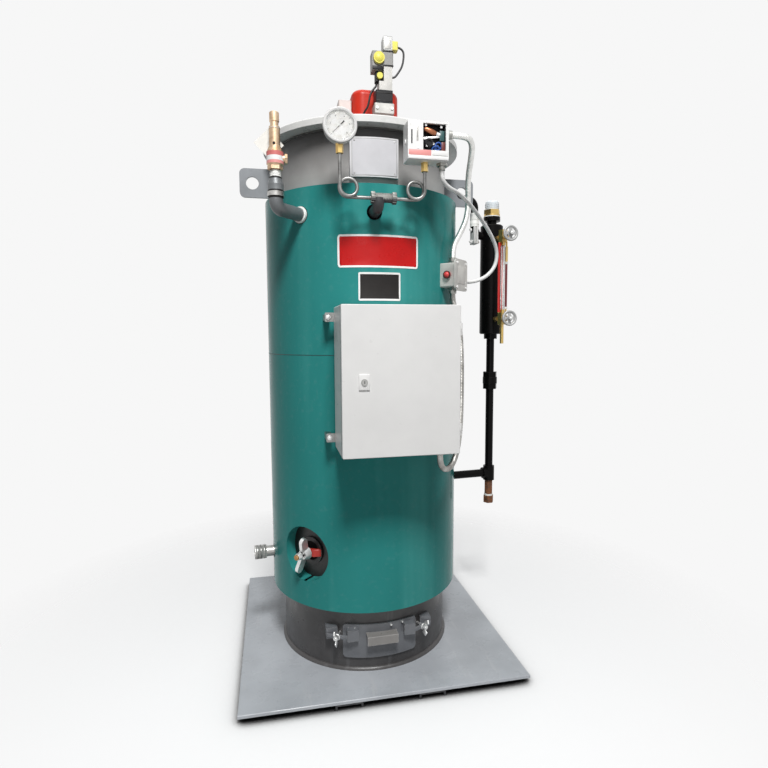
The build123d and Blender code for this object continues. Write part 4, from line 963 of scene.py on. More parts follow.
def round_cord(name, curve, diameter, finish):
    """A round cord drawn along its curve."""
    curve.name = name
    curve.bevel_depth = diameter / 2
    curve.bevel_resolution = 5
    curve.use_fill_caps = True
    curve.materials.append(material(finish))
    piece = bpy.data.objects.new(name, curve)
    bpy.context.scene.collection.objects.link(piece)
    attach(piece, BOILER)
    return piece


def bordered_plate(width, rise, corner, border):
    """A flat plate in metres, with round corners and a raised border, facing Z."""
    form = bmesh.new()
    bmesh.ops.create_grid(form, x_segments=32, y_segments=2, size=0.5)
    bmesh.ops.scale(form, vec=(width, rise, 1), verts=form.verts)
    corners = [vert for vert in form.verts if len(vert.link_faces) == 1]
    softened(form, corners, corner, 6, "VERTICES")
    grown = bmesh.ops.extrude_face_region(form, geom=form.faces[:], use_keep_orig=True)["geom"]
    bmesh.ops.translate(form, vec=(0, 0, SIGN_THICKNESS), verts=verts_of(grown))
    field = [part for part in grown if isinstance(part, bmesh.types.BMFace)]
    bmesh.ops.inset_region(form, faces=field, thickness=border, use_even_offset=True)
    bmesh.ops.inset_region(
        form, faces=field, thickness=border * 0.15, depth=-SIGN_THICKNESS * 0.3
    )
    return form, field


def bend_round(form, radius, height):
    """Wraps a form that faces Z round an upright cylinder."""
    for vert in form.verts:
        turn = vert.co.x / radius
        reach = radius + vert.co.z
        vert.co = (reach * sin(turn), -reach * cos(turn), vert.co.y + height)


def wrapped_sign(name, width, foot, top, corner, border, radius, finishes, azimuth=0):
    """A bordered plate that lies round a cylinder, its field in the second finish."""
    form, field = bordered_plate(width, top - foot, corner, border)
    bmesh.ops.recalc_face_normals(form, faces=form.faces)
    for face in field:
        face.material_index = 1
    bend_round(form, radius, (foot + top) / 2)
    bmesh.ops.rotate(form, cent=(0, 0, 0), matrix=spun(azimuth).to_3x3(), verts=form.verts)
    return settle(name, form, finishes, crease=25)


class BOILER_OT_finishes(bpy.types.Operator):
    """Mixes the finishes and coats the solids of the frame with them"""

    bl_idname = "boiler.finishes"
    bl_label = "Finishes"

    def execute(self, context):
        mix_finishes(context.scene.boiler_colours)
        for finish, nodes in COATS.items():
            for node in nodes:
                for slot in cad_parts[node].material_slots:
                    slot.material = material(finish)
        return {"FINISHED"}


class BOILER_OT_cords(bpy.types.Operator):
    """Lays the conduits, the level switch cable and the burner leads"""

    bl_idname = "boiler.cords"
    bl_label = "Cords"

    def execute(self, context):
        sizes = context.scene.boiler_sizes
        for name, route, real_length, finish in (
            ("upper_conduit", UPPER_CONDUIT, 0.587, "conduit_steel"),
            ("lower_conduit", LOWER_CONDUIT, 0.844, "conduit_dull"),
        ):
            curve, along = route_points(route)
            bpy.data.curves.remove(curve)
            hose = ribbed_hose(along, sizes.conduit_diameter, sizes.rib_pitch)
            piece = settle(name, hose, [finish], crease=60)
            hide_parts("flex_conduits")
        for name, route, real_length, diameter, finish, slot, node in (
            ("switch_cable_run", SWITCH_CABLE, 0.797, sizes.cable_diameter, "cable_sheath",
             "cable_grey", "switch_cable"),
            ("valve_lead", VALVE_LEAD, 0.153, sizes.lead_diameter, "lead_rubber",
             "lead_black", "burner_leads"),
            ("switch_lead", SWITCH_LEAD, 0.156, sizes.lead_diameter, "lead_rubber",
             "lead_black", "burner_leads"),
        ):
            curve = route_points(route)[0]
            piece = round_cord(name, curve, diameter, finish)
            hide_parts(node)
        return {"FINISHED"}


class BOILER_OT_signs(bpy.types.Operator):
    """Fixes the bare plates to the jacket and to the bracket"""

    bl_idname = "boiler.signs"
    bl_label = "Plates"

    def execute(self, context):
        sizes = context.scene.boiler_sizes
        wrapped_sign(
            "sign_plate", sizes.sign_width, sizes.sign_low, sizes.sign_high, 14 * MM, 6 * MM,
            JACKET_RADIUS, ["sign_white", "sign_red"],
        )
        wrapped_sign(
            "data_plate", sizes.data_width, sizes.data_low, sizes.data_high, 6 * MM, 6 * MM,
            JACKET_RADIUS, ["sign_white", "sign_black"],
        )
        foot, head = low("nameplate_bracket").z, high("nameplate_bracket").z
        front = -low("nameplate_bracket").y
        wrapped_sign(
            "name_plate", NAME_PLATE_WIDTH, foot + 5 * MM, head - 5 * MM, 3 * MM, 1.4 * MM,
            front, ["lock_steel", "plate_silver"], NAME_PLATE_TURN,
        )
        rivets = [
            (rivet(3.2, 1.6, 2, 1.2),
             on_wall(NAME_PLATE_TURN + side, front + 0.8 * MM, height), 0)
            for side, height in product((-11.4, 11.4), (foot + 13 * MM, head - 13 * MM))
        ]
        assemble("plate_rivets", rivets, ["lock_steel"])
        return {"FINISHED"}


class BOILER_OT_gauge(bpy.types.Operator):
    """Fits the dial with its marks, the hand and the lens in the pressure gauge"""

    bl_idname = "boiler.gauge"
    bl_label = "Pressure gauge"

    def execute(self, context):
        reach = context.scene.boiler_sizes.dial_radius / MM
        bore, recess, paper = 49.8, 9, 1
        centre = middle("gauge_case")
        dial = on_front(centre.x, low("gauge_case").y + recess * MM, centre.z)
        lip = recess - 0.5
        lining = hollow([(reach, paper), (bore, paper), (bore, lip), (bore - 1.5, lip)], 64)
        assemble(
            "gauge_dial",
            [(disc(bore, paper, 0.2, 64), dial, 0), (lining, dial, 1),
             *self.marks(dial @ shift(z=paper), reach)],
            ["dial_white", "sign_white", "ink_black"],
        )
        lens = disc(bore - 2, 1.6, 0.4, 64)
        assemble(
            "gauge_lens", [(lens, dial @ shift(z=recess - 3), 0)], ["clear_glass"]
        )
        return {"FINISHED"}

    def marks(self, dial, reach):
        """Scale marks, figures and the hand, which rests at nought."""
        first, sweep, steps, rim = 135, 270, 50, reach - 2.5
        parts = []
        for step in range(steps + 1):
            spin = first - sweep * step / steps
            width, run = (0.9, 5.0) if step % 5 == 0 else (0.45, 2.6)
            tick = block(width, run, 0.15, 0.04, 1)
            parts.append((tick, dial @ spun(spin) @ shift(y=rim - run / 2), 2))
            if step % 10 == 0:
                place = spun(spin) @ shift(y=reach * 0.70) @ spun(-spin)
                parts.append((figure(str(step // 5), 7), dial @ place, 2))
        return parts + [
            (ring(reach - 2.3, reach - 1.9, 0.12, 64), dial, 2),
            (hand(34, 20, 1.9, 0.5), dial @ spun(first) @ shift(z=1.6), 2),
            (disc(3.6, 2.6, 0.8, 24), dial, 1),
        ]


class BOILER_OT_switch(bpy.types.Operator):
    """Fits the works, the labels and the plug of the pressure switch"""

    bl_idname = "boiler.switch"
    bl_label = "Pressure switch"

    def execute(self, context):
        corner = on_front(*low("switch_cover"))
        self.fit_works(corner @ shift(z=-22))
        labels = (
            (13.5, 74, 4.5, 45, 0.8, 0.4, 1),
            (33, 84, 6.5, 47, 0.8, 0.4, 2),
            (33, 90, 1.0, 36, 1.4, 0.2, 1),
            (42, 24, 78, 18, 0.7, 0.4, 3),
            (112, 24, 54, 15, 1.6, 0.6, 0),
            (71.5, 7, 141, 11, 4.0, 1.8, 0),
        )
        parts = [
            (block(width, rise, depth, edge), corner @ shift(x, z), skin)
            for x, z, width, rise, depth, edge, skin in labels
        ]
        parts += [
            (socket_screw(2.6, 1.6), corner @ shift(x, z), 4)
            for x, z in ((8, 115), (35, 38), (136, 122), (5, 6))
        ]
        assemble(
            "switch_trim", parts,
            ["switch_enamel", "ink_black", "cast_alloy", "label_pink", "bright_steel"],
        )
        left, foot, rear = low("switch_cover").x, low("switch_cover").z, high("switch_case").y
        plug = along_x(left - 3 * MM, rear - 30 * MM, foot + 64 * MM)
        assemble(
            "switch_plug", [(disc(9, 3, 0.8, 24), plug, 0)], ["switch_enamel"]
        )
        return {"FINISHED"}

    def fit_works(self, back):
        """Bulb, bridge, coil, wires and terminals behind the window, before a black sheet of
        painted shade.
        """
        lean = spun(-108) @ spun(-90, "X")
        bulb = turned([(0, 0), (5, 1), (9, 8), (9.5, 34), (7, 44), (0, 46)], 28)
        parts = [
            # A black sheet across the window stands in for the shade inside the case: painted
            # shade.
            (block(136, 120, 2, 0.6), shift(71.5, 64), 0),
            (bulb, shift(58, 105, 12) @ lean, 1),
            (stud(6.5, 15, 4, 3, 24), shift(102, 91, 12) @ lean, 2),
            (block(60, 7, 4, 1.2), shift(86, 77, 10) @ spun(9), 2),
            (disc(18, 12, 3, 36), shift(76, 60, 2), 0),
            (ring(8, 14, 15, 36), shift(76, 60, 2), 3),
        ]
        for x, z in ((68, 50), (90, 56), (118, 112), (64, 116)):
            parts.append((socket_screw(4.4, 5), shift(x, z, 12), 2))
        for number, (x, z) in enumerate(((104, 45), (110, 52), (100, 38))):
            tilt = spun(28 * number - 20, "X")
            parts.append((cord_ring(9 + 2 * number, 2.6), shift(x, z, 9) @ tilt, 4))
        parts += [
            (block(17, 34, 14, 2), shift(121, 84, 2), 5),
            (block(13, 36, 12, 2), shift(126, 47, 2), 6),
        ]
        assemble(
            "switch_works", [(form, back @ place, skin) for form, place, skin in parts],
            ["ink_black", "copper", "bright_steel", "coil_plastic", "wire_blue",
             "terminal_green", "terminal_brown"],
        )


class BOILER_OT_safety(bpy.types.Operator):
    """Dresses the safety valve with its label, seals, tapes, pin and paper tag"""

    bl_idname = "boiler.safety"
    bl_label = "Safety valve trim"

    def execute(self, context):
        axis, foot = middle("safety_bonnet"), low("safety_valve").z
        elbow = upright(axis.x, axis.y, ELBOW_TOP)
        waist = upright(axis.x, axis.y, foot + 18 * MM)
        self.wrap(elbow, waist)
        outlet = along_x(high("safety_valve").x - 9 * MM, axis.y, foot + 38 * MM)
        collar = hollow([(14, 0), (16.5, 2), (16.5, 7), (14, 8)], 32)
        neck = upright(axis.x, axis.y, high("safety_bonnet").z - 34 * MM)
        assemble(
            "valve_cap", [(hex_head(30, 9), outlet, 0), (collar, neck, 0)], ["valve_bronze"],
        )
        pin = waist @ shift(z=66) @ spun(-8) @ on_front(0, -18 * MM, 0)
        assemble("valve_pin", [(socket_screw(4.5, 3.5), pin, 0)], ["sign_black"])
        tie = turned([(0, 0), (0.7, 0), (0.7, 22), (0, 22)], 10)
        assemble(
            "valve_tag",
            [(paper_tag(70, 76, 43), waist @ shift(-20, 33, 79) @ spun(90, "X"), 0),
             (cord_ring(19.6, 0.7), waist @ shift(z=118), 1),
             (tie, waist @ shift(-16, 16, 118) @ spun(-82, "X"), 1)],
            ["tag_paper", "bright_steel"], crease=60,
        )
        return {"FINISHED"}

    def wrap(self, elbow, waist):
        """The banded label, the seals of the pipe below and the tapes of its threads."""
        bands = [
            (ring(28.5, 29.1, end - start - 0.1, 40), waist @ shift(z=start), skin)
            for start, end, skin in ((0, 10, 1), (10, 25.5, 0), (25.5, 40, 2))
        ]
        assemble("valve_label", bands, ["sign_white", "label_pink", "label_rose"])
        parts = []
        for rise, inner, outer, depth in ((0, 22, 26, 6), (21, 22, 27.5, 6), (63, 15, 22.5, 7)):
            shoulder = outer - 1
            seal = hollow(
                [(inner, 0), (shoulder, 0), (outer, depth / 2), (shoulder, depth), (inner, depth)],
                40,
            )
            parts.append((seal, elbow @ shift(z=rise), 0))
        parts.append((ring(27, 28.6, 15, 40), elbow @ shift(z=6), 1))
        assemble("valve_seals", parts, ["gland_plastic", "galvanised"])
        turns = (19.6, 19.0, 19.8, 18.6, 19.2, 18.2, 18.8)
        packing = hollow([(24.2, -6), (29, -4), (30, 1), (28.5, 6), (24.2, 7)], 40)
        hole = on_wall(ELBOW_AZIMUTH, JACKET_RADIUS + 3 * MM, ELBOW_TOP - 32 * MM)
        assemble(
            "valve_tapes",
            [(wound_tape(15, turns, 3, 0.9, 0.5, 22, 32), elbow @ shift(z=72), 0),
             (packing, hole, 0)],
            ["thread_tape"],
        )


class BOILER_OT_column(bpy.types.Operator):
    """Dresses the water column, its glass and its valves"""

    bl_idname = "boiler.column"
    bl_label = "Water column trim"

    def execute(self, context):
        axis = middle("water_column")
        top = upright(axis.x, axis.y, high("water_column").z)
        cap = upright(axis.x, axis.y, high("probe_cap").z)
        drain = upright(axis.x, axis.y, low("column_drain").z)
        assemble(
            "column_tapes",
            [(ring(30, 37.2, 4), top, 0), (ring(17.6, 20, 8, 32), drain @ shift(z=34), 0)],
            ["thread_tape"],
        )
        ribs = [(ring(30, 32, 3), cap @ shift(z=drop), 0) for drop in (-34, -26, -18)]
        ribs.append((disc(9, 4, 1.5, 24), cap @ shift(z=-1), 0))
        assemble("probe_ribs", ribs, ["probe_plastic"])
        self.dress_glass()
        self.fit_flanges()
        for wheel in ("upper_handwheel", "lower_handwheel"):
            hub = on_front(middle(wheel).x, low(wheel).y, middle(wheel).z)
            assemble(
                wheel + "_nut",
                [(hex_head(13, 6), hub @ shift(z=-1), 0),
                 (stud(3.2, 5, 2.4, 1, 18), hub @ shift(z=4), 0)],
                ["bright_steel"], wheel,
            )
        return {"FINISHED"}

    def dress_glass(self):
        """The red line of the glass, the sleeves of its guard rods and the valves' nuts."""
        glass, foot = middle("sight_glass"), low("sight_glass").z
        span = (high("sight_glass").z - foot) / MM
        line = upright(glass.x, glass.y, foot)
        assemble(
            "glass_stripe",
            [(block(9, 1, span - 4, 0.3), line @ shift(0, 4, 2), 0),
             (block(2.2, 0.6, span - 6, 0.2), line @ shift(0, 3.1, 3), 1)],
            ["sign_white", "label_red"],
        )
        left = upright(low("guard_rods").x + 4 * MM, glass.y, foot)
        right = upright(high("guard_rods").x - 4 * MM, glass.y, foot)
        collars = [(ring(4.1, 7, 9, 24), right @ shift(z=rise), 1) for rise in (17, 212)]
        assemble(
            "rod_sleeves",
            [(rod_sleeve(span - 4), left @ shift(z=2), 0),
             (rod_sleeve(186), right @ shift(z=26), 3), *collars,
             (ring(4.1, 6.2, 64, 24), right @ shift(z=224), 2)],
            ["label_red", "thread_tape", "brass", "sleeve_maroon"],
        )
        nuts = []
        for height in GLASS_VALVES:
            valve = on_front(glass.x, glass.y, height)
            nuts += [(ring(11.2, 15, 7, 6), valve @ shift(z=reach), 0) for reach in (26, -34)]
            side = along_x(glass.x + 17.5 * MM, glass.y, height)
            nuts.append((disc(6, 9, 2, 20), side, 0))
        assemble("valve_nuts", nuts, ["brass"])

    def fit_flanges(self):
        """A pair of oval flanges with two bolts on the equalizing pipe, and its tape."""
        place = on_wall(COLUMN_AZIMUTH, JACKET_RADIUS + 130 * MM, EQUALIZER_HEIGHT)
        parts = [(block(46, 78, 10, 4, 3), place @ shift(z=reach), 0) for reach in (-11, 1)]
        for rise in (-27, 27):
            parts += hex_bolt(place @ shift(0, rise, 11), 14, 1)
            parts += hex_bolt(place @ shift(0, rise, -11) @ spun(180, "X"), 14, 1)
        tape = wound_tape(17.1, (19.4, 19.9, 19.1, 19.7, 19.2, 19.8), 10, 0.95, 0.6, 60, 28)
        parts.append((tape, upright(*place.translation) @ shift(z=40), 2))
        assemble(
            "equalizer_flanges", parts, ["bezel_alloy", "bright_steel", "thread_tape"],
        )


class BOILER_OT_cleanout(bpy.types.Operator):
    """Puts the wing nuts and studs on the cleanout door and the handhole"""

    bl_idname = "boiler.cleanout"
    bl_label = "Cleanout clamps"

    def execute(self, context):
        parts = []
        for azimuth, spin in ((-25.4, 98), (27.4, 76)):
            seat = on_wall(azimuth, SHELL_RADIUS + 33 * MM, CLAMP_HEIGHT)
            parts += [
                (block(84, 17, 6, 2, 3), seat, 1),
                (stud(5, 59, 4, 2, 20), seat @ shift(z=-32), 0),
                (disc(13, 2.5, 0.8, 28), seat @ shift(z=6), 0),
                *wing_nut(seat @ shift(z=8.5) @ spun(spin), 11, 14, 27),
            ]
        for azimuth, height in ((-19.5, 0.204), (-15.5, 0.205), (7, 0.212), (14.5, 0.214)):
            seat = on_wall(azimuth, SHELL_RADIUS + 8.4 * MM, height)
            parts.append((stud(4.2, 8.5, 3.2, 1.5, 18), seat, 0))
        assemble("cleanout_hardware", parts, ["bright_steel", "door_steel"])
        hub = on_wall(HANDHOLE_AZIMUTH, JACKET_RADIUS + 26 * MM, HANDHOLE_HEIGHT)
        sleeve = turned([(0, 0), (15, 0), (13, 12), (11.5, 17), (0, 17)], 28)
        assemble(
            "handhole_stud_end",
            [(sleeve, hub, 0), (stud(10.4, 7, 8, 2, 24), hub @ shift(z=16.5), 1)],
            ["bright_steel", "stud_brass"],
        )
        return {"FINISHED"}


class BOILER_OT_welds(bpy.types.Operator):
    """Lays the weld beads and the jacket's seams"""

    bl_idname = "boiler.welds"
    bl_label = "Welds and seams"

    def execute(self, context):
        leg = context.scene.boiler_sizes.weld / MM
        shell, jacket = SHELL_RADIUS / MM, JACKET_RADIUS / MM
        foot = upright(0, 0, PLATE_TOP)
        assemble(
            "skirt_weld", [(weld_bead(shell, leg * 2), foot, 0)], ["skirt_paint"],
            crease=80,
        )
        lug = middle("lifting_lugs").z
        run = (high("lifting_lugs").z - low("lifting_lugs").z) / MM - 12
        beads = [
            (straight_bead(run, leg), upright(side * SHELL_RADIUS, depth * MM, lug), 0)
            for side, depth in product((-1, 1), (-7.5, 7.5))
        ]
        beads.append((weld_bead(shell, leg), upright(0, 0, SHELL_TOP) @ shift(z=-leg * 0.9), 0))
        assemble("shell_welds", beads, ["weld_steel"], crease=80)
        seam = ring(jacket - 1, jacket + 0.35, 2.6, 160)
        assemble(
            "jacket_seam", [(seam, upright(0, 0, SEAM_HEIGHT - 1.3 * MM), 0)], ["seam_dark"],
        )
        laps = []
        for foot, head, azimuth in (
            (low("lower_jacket").z, SEAM_HEIGHT, 152), (SEAM_HEIGHT, JACKET_TOP, 160),
        ):
            strip = block(34, (head - foot) / MM - 6, 1.4, 0.5)
            laps.append((strip, on_wall(azimuth, JACKET_RADIUS - 0.3 * MM, (foot + head) / 2), 0))
            count = int((head - foot) / LAP_RIVET_PITCH)
            for number in range(count):
                rise = foot + (head - foot) * (number + 0.5) / count
                place = on_wall(azimuth, JACKET_RADIUS + 1 * MM, rise)
                laps.append((rivet(4.4, 2.6, 3, 1.8), place, 0))
        assemble("jacket_laps", laps, ["jacket_enamel"])
        return {"FINISHED"}


class BOILER_OT_fasteners(bpy.types.Operator):
    """Puts in the bolts and screws of the burner, the boxes and the cabinet"""

    bl_idname = "boiler.fasteners"
    bl_label = "Bolts and screws"

    def execute(self, context):
        burner = middle("burner_flange")
        seat = upright(burner.x, burner.y, low("burner_flange").z + 14 * MM)
        bolts = []
        for x, y in product((-78, 78), repeat=2):
            bolts += hex_bolt(seat @ shift(x, y), 17)
        assemble("burner_bolts", bolts, ["bright_steel"])
        cover = on_wall(JUNCTION_AZIMUTH, JACKET_RADIUS + 67 * MM, middle("junction_cover").z)
        screws = [
            (socket_screw(5, 3), cover @ shift(x, y), 0)
            for x, y in product((-40, 40), (-46, 46))
        ]
        screws.append((block(60, 66, 1.5, 0.7), cover, 1))
        assemble("junction_screws", screws, ["bright_steel", "cast_alloy"])
        lamp = upright(*middle("junction_lamp")) @ spun(JUNCTION_AZIMUTH) @ spun(-90, "Y")
        lens = turned([(0, 9), (6, 8), (10.5, 4), (11.5, 0), (0, 0)], 28)
        assemble(
            "lamp_lens",
            [(lens, lamp @ shift(z=5), 0), (ring(11.5, 15, 4, 32), lamp @ shift(z=2), 1)],
            ["lamp_red", "sign_black"],
        )
        ears = []
        for x, z in product(EAR_BOLTS_X, EAR_BOLTS_Z):
            ears += hex_bolt(on_front(x, high("cabinet_body").y, z), 12)
        assemble("ear_bolts", ears, ["bright_steel"])
        return {"FINISHED"}


class BOILER_OT_cabinet(bpy.types.Operator):
    """Fits the lock's slot, the door's seal, a painted shadow line round the door's mouth and the
    gear on the mounting plate
    """

    bl_idname = "boiler.cabinet"
    bl_label = "Cabinet trim"

    def execute(self, context):
        lock = middle("cabinet_lock")
        knob = on_front(lock.x, low("cabinet_lock").y, lock.z)
        face = on_front(lock.x, low("cabinet_door").y, lock.z)
        assemble(
            "lock_slot",
            [(block(2.2, 9, 0.8, 0.2, 1), knob, 0), (ring(9, 11, 2.5, 32), knob @ shift(z=-5), 1),
             (block(36, 52, 4.5, 2, 3), face, 2)],
            ["ink_black", "lock_steel", "switch_enamel"], "cabinet_door",
        )
        inside = on_front(CABINET_X, DOOR_INSIDE, middle("cabinet_door").z) @ spun(180, "X")
        seal = strip_frame(inside, 372, 472, 8, 9, 6, 2)
        assemble("door_seal", seal, ["lead_rubber"], "cabinet_door")
        # Painted shadow: a thin grey strip round the door's mouth draws the shadow line in the gap
        # between door and body.
        mouth = on_front(CABINET_X, CABINET_MOUTH, middle("cabinet_door").z)
        gap_shadow = strip_frame(mouth, 401, 501, 1, 1.2, 3, 0.3, 1)
        assemble("door_gap_shadow", gap_shadow, ["gap_shadow_grey"])
        self.mount_gear()
        return {"FINISHED"}

    def mount_gear(self):
        """Three rails of gear, each with a button or a lever on every unit."""
        rail_width, units_width, rail_rise = 300, 280, 7
        gear = []
        for height, count, rise, depth, skin in (
            (1.33, 8, 78, 55, 1), (1.17, 5, 84, 70, 2), (1.02, 12, 46, 38, 1),
        ):
            rail = on_front(CABINET_X, low("mounting_plate").y, height)
            gear.append((block(rail_width, 35, rail_rise, 1), rail, 0))
            gap = units_width / count
            for number in range(count):
                spot = rail @ shift(gap * (number + 0.5) - units_width / 2, 0, rail_rise)
                gear += [
                    (block(gap - 2, rise, depth, 3), spot, skin),
                    (block(gap * 0.35, 12, 6, 1.5), spot @ shift(z=depth), 3 - skin),
                ]
        assemble(
            "cabinet_gear", gear, ["bright_steel", "box_plastic", "coil_plastic"]
        )


class BOILER_OT_burner(bpy.types.Operator):
    """Details the gas valve and the burner's hood"""

    bl_idname = "boiler.burner"
    bl_label = "Burner trim"

    def execute(self, context):
        front = on_front(0, VALVE_FRONT, 0)
        plates = (
            (92, 2488, 24, 38, 2.2, 0),
            (92, 2459.5, 44, 5, 1.6, 1),
            (92, 2405, 44, 6, 1.6, 1),
            (50, 2394, 43, 14, 1.4, 1),
        )
        parts = [
            (block(width, rise, depth, 0.8), front @ shift(x, z), skin)
            for x, z, width, rise, depth, skin in plates
        ]
        parts += [
            (socket_screw(2.4, 2), front @ shift(x, z), 2)
            for x, z in product((82, 102), (2505, 2471))
        ]
        parts += [(socket_screw(5.5, 5), front @ shift(x, 2239, 7), 2) for x in (46, 106)]
        parts += [(block(66, 2.5, 1.2, 0.4), front @ shift(76, z, 6), 3) for z in (2268, 2298)]
        dome = turned([(0, 7), (9, 5.6), (16, 2.4), (19, 0), (0, 0)], 40)
        parts += [
            (dome, front @ shift(54.5, 2430, 9.5), 4),
            (block(37.4, 49.4, 53, 3, 3), upright(*TOP_BOX), 5),
        ]
        assemble(
            "gas_trim", parts,
            ["cast_alloy", "coil_plastic", "bright_steel", "sign_black", "cap_plastic",
             "white_plastic"],
        )
        hood = middle("burner_housing")
        face = on_front(hood.x, low("burner_housing").y, HOOD_SCREW_HEIGHT)
        trim = [(socket_screw(4, 3), face @ shift(x), 1) for x in (-78, 78)]
        crown = upright(hood.x, hood.y, high("burner_housing").z - 0.5 * MM)
        trim.append((disc(26, 3, 1, 40), crown, 0))
        assemble("hood_trim", trim, ["burner_plastic", "sign_black"])
        return {"FINISHED"}


class BOILER_OT_pipes(bpy.types.Operator):
    """Fits the blowdown thread, the body of the siphon tee and the pipe collars"""

    bl_idname = "boiler.pipes"
    bl_label = "Pipe threads"

    def execute(self, context):
        nipple = on_wall(BLOWDOWN_AZIMUTH, JACKET_RADIUS + 32 * MM, BLOWDOWN_HEIGHT)
        ridges = [(22.1, 0)]
        for number in range(11):
            ridges += [(28.1, 4 * number + 1), (29.2, 4 * number + 3)]
        ridges += [(28.1, 46), (22.1, 47)]
        parts = [(hollow(ridges, 40), nipple, 0)]
        parts += [(ring(28, 29.3, 3, 40), nipple @ shift(z=reach), 1) for reach in (8, 22, 36)]
        assemble("blowdown_thread", parts, ["galvanised", "tube_steel"])
        self.wrap_tee()
        collars = []
        for azimuth, height, bore in (
            (180, 1.544, 30), (180, 0.707, 24), (COLUMN_AZIMUTH, 0.681, 18),
        ):
            rim = bore + 15
            collar = hollow([(bore, -2), (rim, -2), (rim, 1.5), (bore + 2, 4), (bore, 4)], 48)
            collars.append((collar, on_wall(azimuth, JACKET_RADIUS, height), 0))
        assemble("pipe_collars", collars, ["galvanised"])
        return {"FINISHED"}

    def wrap_tee(self):
        """The threaded zinc body of the siphon tee, with a nut at each end."""
        near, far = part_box("siphon_tee")
        run = (far.x - near.x) / MM
        branch = along_x(near.x, near.y + 20 * MM, far.z - 17 * MM)
        body, ridges = [(12, -0.4)], 12
        for number in range(ridges):
            reach = 14 + (run - 28) * number / (ridges - 1)
            body += [(14.4, reach - 1.6), (15.6, reach)]
        body.append((12, run + 0.4))
        parts = [(hollow(body, 36), branch, 0)]
        parts += [(hex_head(34.8, 14.4), branch @ shift(z=end), 0) for end in (-0.4, run - 14)]
        assemble("tee_body", parts, ["zinc"])


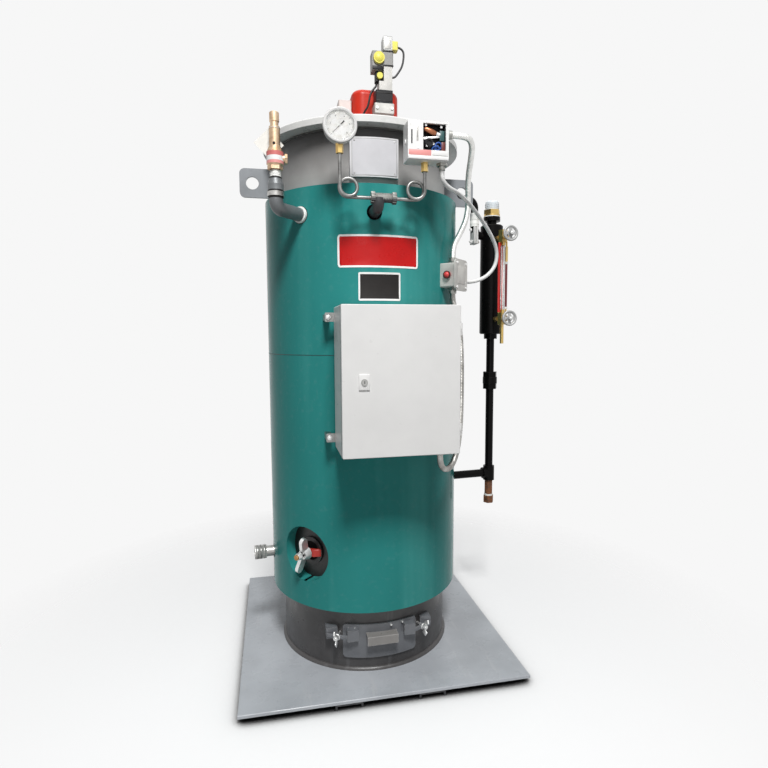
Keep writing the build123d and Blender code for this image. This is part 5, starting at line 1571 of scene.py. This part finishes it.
class BOILER_OT_stage(bpy.types.Operator):
    """Sets the floor, the studio light and the camera"""

    bl_idname = "boiler.stage"
    bl_label = "Stage"

    def execute(self, context):
        stage = context.scene.boiler_stage
        context.scene.view_settings.view_transform = "Standard"
        self.light_room(context.scene, stage.ambient)
        self.lay_floor()
        for name, watts, place, side in (
            ("key", stage.key, (-0.25, -3.5, 5.3), 1.1),
            ("fill", stage.fill, (-0.4, -4.2, 1.6), 2.2),
            ("top", stage.top, (-0.3, 0.3, 4.6), 2.0),
            ("back", stage.back, (0.9, 2.9, 3.0), 2.0),
        ):
            self.hang_lamp(name, watts, place, side)
        self.set_camera(context.scene, stage)
        return {"FINISHED"}

    def light_room(self, scene, ambient):
        """A pale room that shows white to the eye and in gloss, and lights softly."""
        room = bpy.data.worlds.new("pale_room")
        scene.world = room
        room.use_nodes = True
        tree = room.node_tree
        soft = tree.nodes["Background"]
        soft.inputs["Color"].default_value = (0.95, 0.97, 1.0, 1)
        soft.inputs["Strength"].default_value = ambient
        seen = tree.nodes.new("ShaderNodeBackground")
        seen.inputs["Color"].default_value = (*PALE, 1)
        path = tree.nodes.new("ShaderNodeLightPath")
        shown = path.outputs["Is Camera Ray"]
        for kind in SEEN_BY:
            either = tree.nodes.new("ShaderNodeMath")
            either.operation = "MAXIMUM"
            tree.links.new(shown, either.inputs[0])
            tree.links.new(path.outputs[kind], either.inputs[1])
            shown = either.outputs["Value"]
        choice = tree.nodes.new("ShaderNodeMixShader")
        tree.links.new(shown, choice.inputs["Fac"])
        tree.links.new(soft.outputs["Background"], choice.inputs[1])
        tree.links.new(seen.outputs["Background"], choice.inputs[2])
        tree.links.new(choice.outputs["Shader"], tree.nodes["World Output"].inputs["Surface"])

    def lay_floor(self):
        """A pale round floor that fades into the room, darkened near the boiler by a painted
        contact shadow from occlusion.
        """
        form = bmesh.new()
        bmesh.ops.create_circle(form, cap_ends=True, radius=FLOOR_RADIUS, segments=96)
        bmesh.ops.translate(form, vec=(0, 0, cad_box[0].z - 0.5 * MM), verts=form.verts)
        mesh = bpy.data.meshes.new("floor")
        form.to_mesh(mesh)
        form.free()
        floor = bpy.data.objects.new("floor", mesh)
        bpy.context.scene.collection.objects.link(floor)
        skin = Finish("floor_pale", Specular_IOR_Level=0.0)
        # Painted shadow: ambient occlusion darkens the floor's colour and its glow near and under
        # the boiler.
        corner = skin.make("ShaderNodeAmbientOcclusion")
        corner.samples = 8
        corner.inputs["Distance"].default_value = 0.16
        lit = skin.levels(corner.outputs["AO"], 0.45, 0.92)
        skin.done(skin.mix(lit, (0.02, 0.02, 0.02), (0.74, 0.74, 0.74)), 0.9)
        glow = skin.make("ShaderNodeEmission")
        glow.inputs["Color"].default_value = (*PALE, 1)
        path = skin.make("ShaderNodeLightPath")
        shown = path.outputs["Is Camera Ray"]
        for kind in SEEN_BY:
            shown = skin.times(shown, path.outputs[kind], "MAXIMUM")
        skin.feed(skin.times(skin.times(shown, lit), 0.30), glow.inputs["Strength"])
        both = skin.make("ShaderNodeAddShader")
        skin.tree.links.new(skin.shader.outputs["BSDF"], both.inputs[0])
        skin.tree.links.new(glow.outputs["Emission"], both.inputs[1])
        reach = skin.make("ShaderNodeVectorMath")
        reach.operation = "LENGTH"
        skin.feed(skin.coords, reach.inputs[0])
        fade = skin.levels(reach.outputs["Value"], FADE_START, FADE_END)
        clear = skin.make("ShaderNodeBsdfTransparent")
        blend = skin.make("ShaderNodeMixShader")
        skin.feed(fade, blend.inputs["Fac"])
        skin.tree.links.new(both.outputs["Shader"], blend.inputs[1])
        skin.tree.links.new(clear.outputs["BSDF"], blend.inputs[2])
        out = skin.tree.nodes["Material Output"]
        skin.tree.links.new(blend.outputs["Shader"], out.inputs["Surface"])
        mesh.materials.append(skin.material)

    def hang_lamp(self, name, watts, place, side):
        """A square softbox that looks at the middle of the boiler."""
        lamp = bpy.data.lights.new(name, "AREA")
        lamp.energy = watts
        lamp.size = side
        hung = bpy.data.objects.new(name, lamp)
        bpy.context.scene.collection.objects.link(hung)
        hung.location = place
        aim = LAMP_AIM - Vector(place)
        hung.rotation_euler = aim.to_track_quat("-Z", "Y").to_euler()

    def set_camera(self, scene, stage):
        """The camera, turned, dipped and rolled."""
        turn, dip, roll = stage.camera_turn, stage.camera_dip, stage.camera_roll
        ahead = Vector((sin(turn) * cos(dip), cos(turn) * cos(dip), -sin(dip)))
        level = Vector((cos(turn), -sin(turn), 0))
        rise = level.cross(ahead)
        right = level * cos(roll) + rise * sin(roll)
        up = rise * cos(roll) - level * sin(roll)
        view = bpy.data.cameras.new("view")
        view.lens = stage.lens
        view.sensor_width = 36.0
        camera = bpy.data.objects.new("view", view)
        scene.collection.objects.link(camera)
        turned_view = Matrix((right, up, -ahead)).transposed().to_4x4()
        camera.matrix_world = Matrix.Translation(Vector(stage.camera_place)) @ turned_view
        scene.camera = camera


OPERATORS = (
    BOILER_OT_finishes,
    BOILER_OT_cords,
    BOILER_OT_signs,
    BOILER_OT_gauge,
    BOILER_OT_switch,
    BOILER_OT_safety,
    BOILER_OT_column,
    BOILER_OT_cleanout,
    BOILER_OT_welds,
    BOILER_OT_fasteners,
    BOILER_OT_cabinet,
    BOILER_OT_burner,
    BOILER_OT_pipes,
    BOILER_OT_stage,
)


class BOILER_PT_dress(bpy.types.Panel):
    """Lists the steps that dress the boiler"""

    bl_idname = "BOILER_PT_dress"
    bl_label = "Boiler"
    bl_space_type = "VIEW_3D"
    bl_region_type = "UI"
    bl_category = "Boiler"

    def draw(self, context):
        for step in OPERATORS:
            self.layout.operator(step.bl_idname)


GROUPS = (BoilerColours, BoilerSizes, BoilerStage)


def register():
    """Registers the settings, the steps and the panel."""
    for entry in (*GROUPS, *OPERATORS, BOILER_PT_dress):
        bpy.utils.register_class(entry)
    bpy.types.Scene.boiler_colours = PointerProperty(type=BoilerColours)
    bpy.types.Scene.boiler_sizes = PointerProperty(type=BoilerSizes)
    bpy.types.Scene.boiler_stage = PointerProperty(type=BoilerStage)


def unregister():
    """Takes the panel, the steps and the settings away again."""
    del bpy.types.Scene.boiler_stage
    del bpy.types.Scene.boiler_sizes
    del bpy.types.Scene.boiler_colours
    for entry in reversed((*GROUPS, *OPERATORS, BOILER_PT_dress)):
        bpy.utils.unregister_class(entry)


def main():
    """Dresses the boiler step by step."""
    register()
    for step in OPERATORS:
        family, name = step.bl_idname.split(".")
        getattr(getattr(bpy.ops, family), name)()


if __name__ == "__main__":
    main()
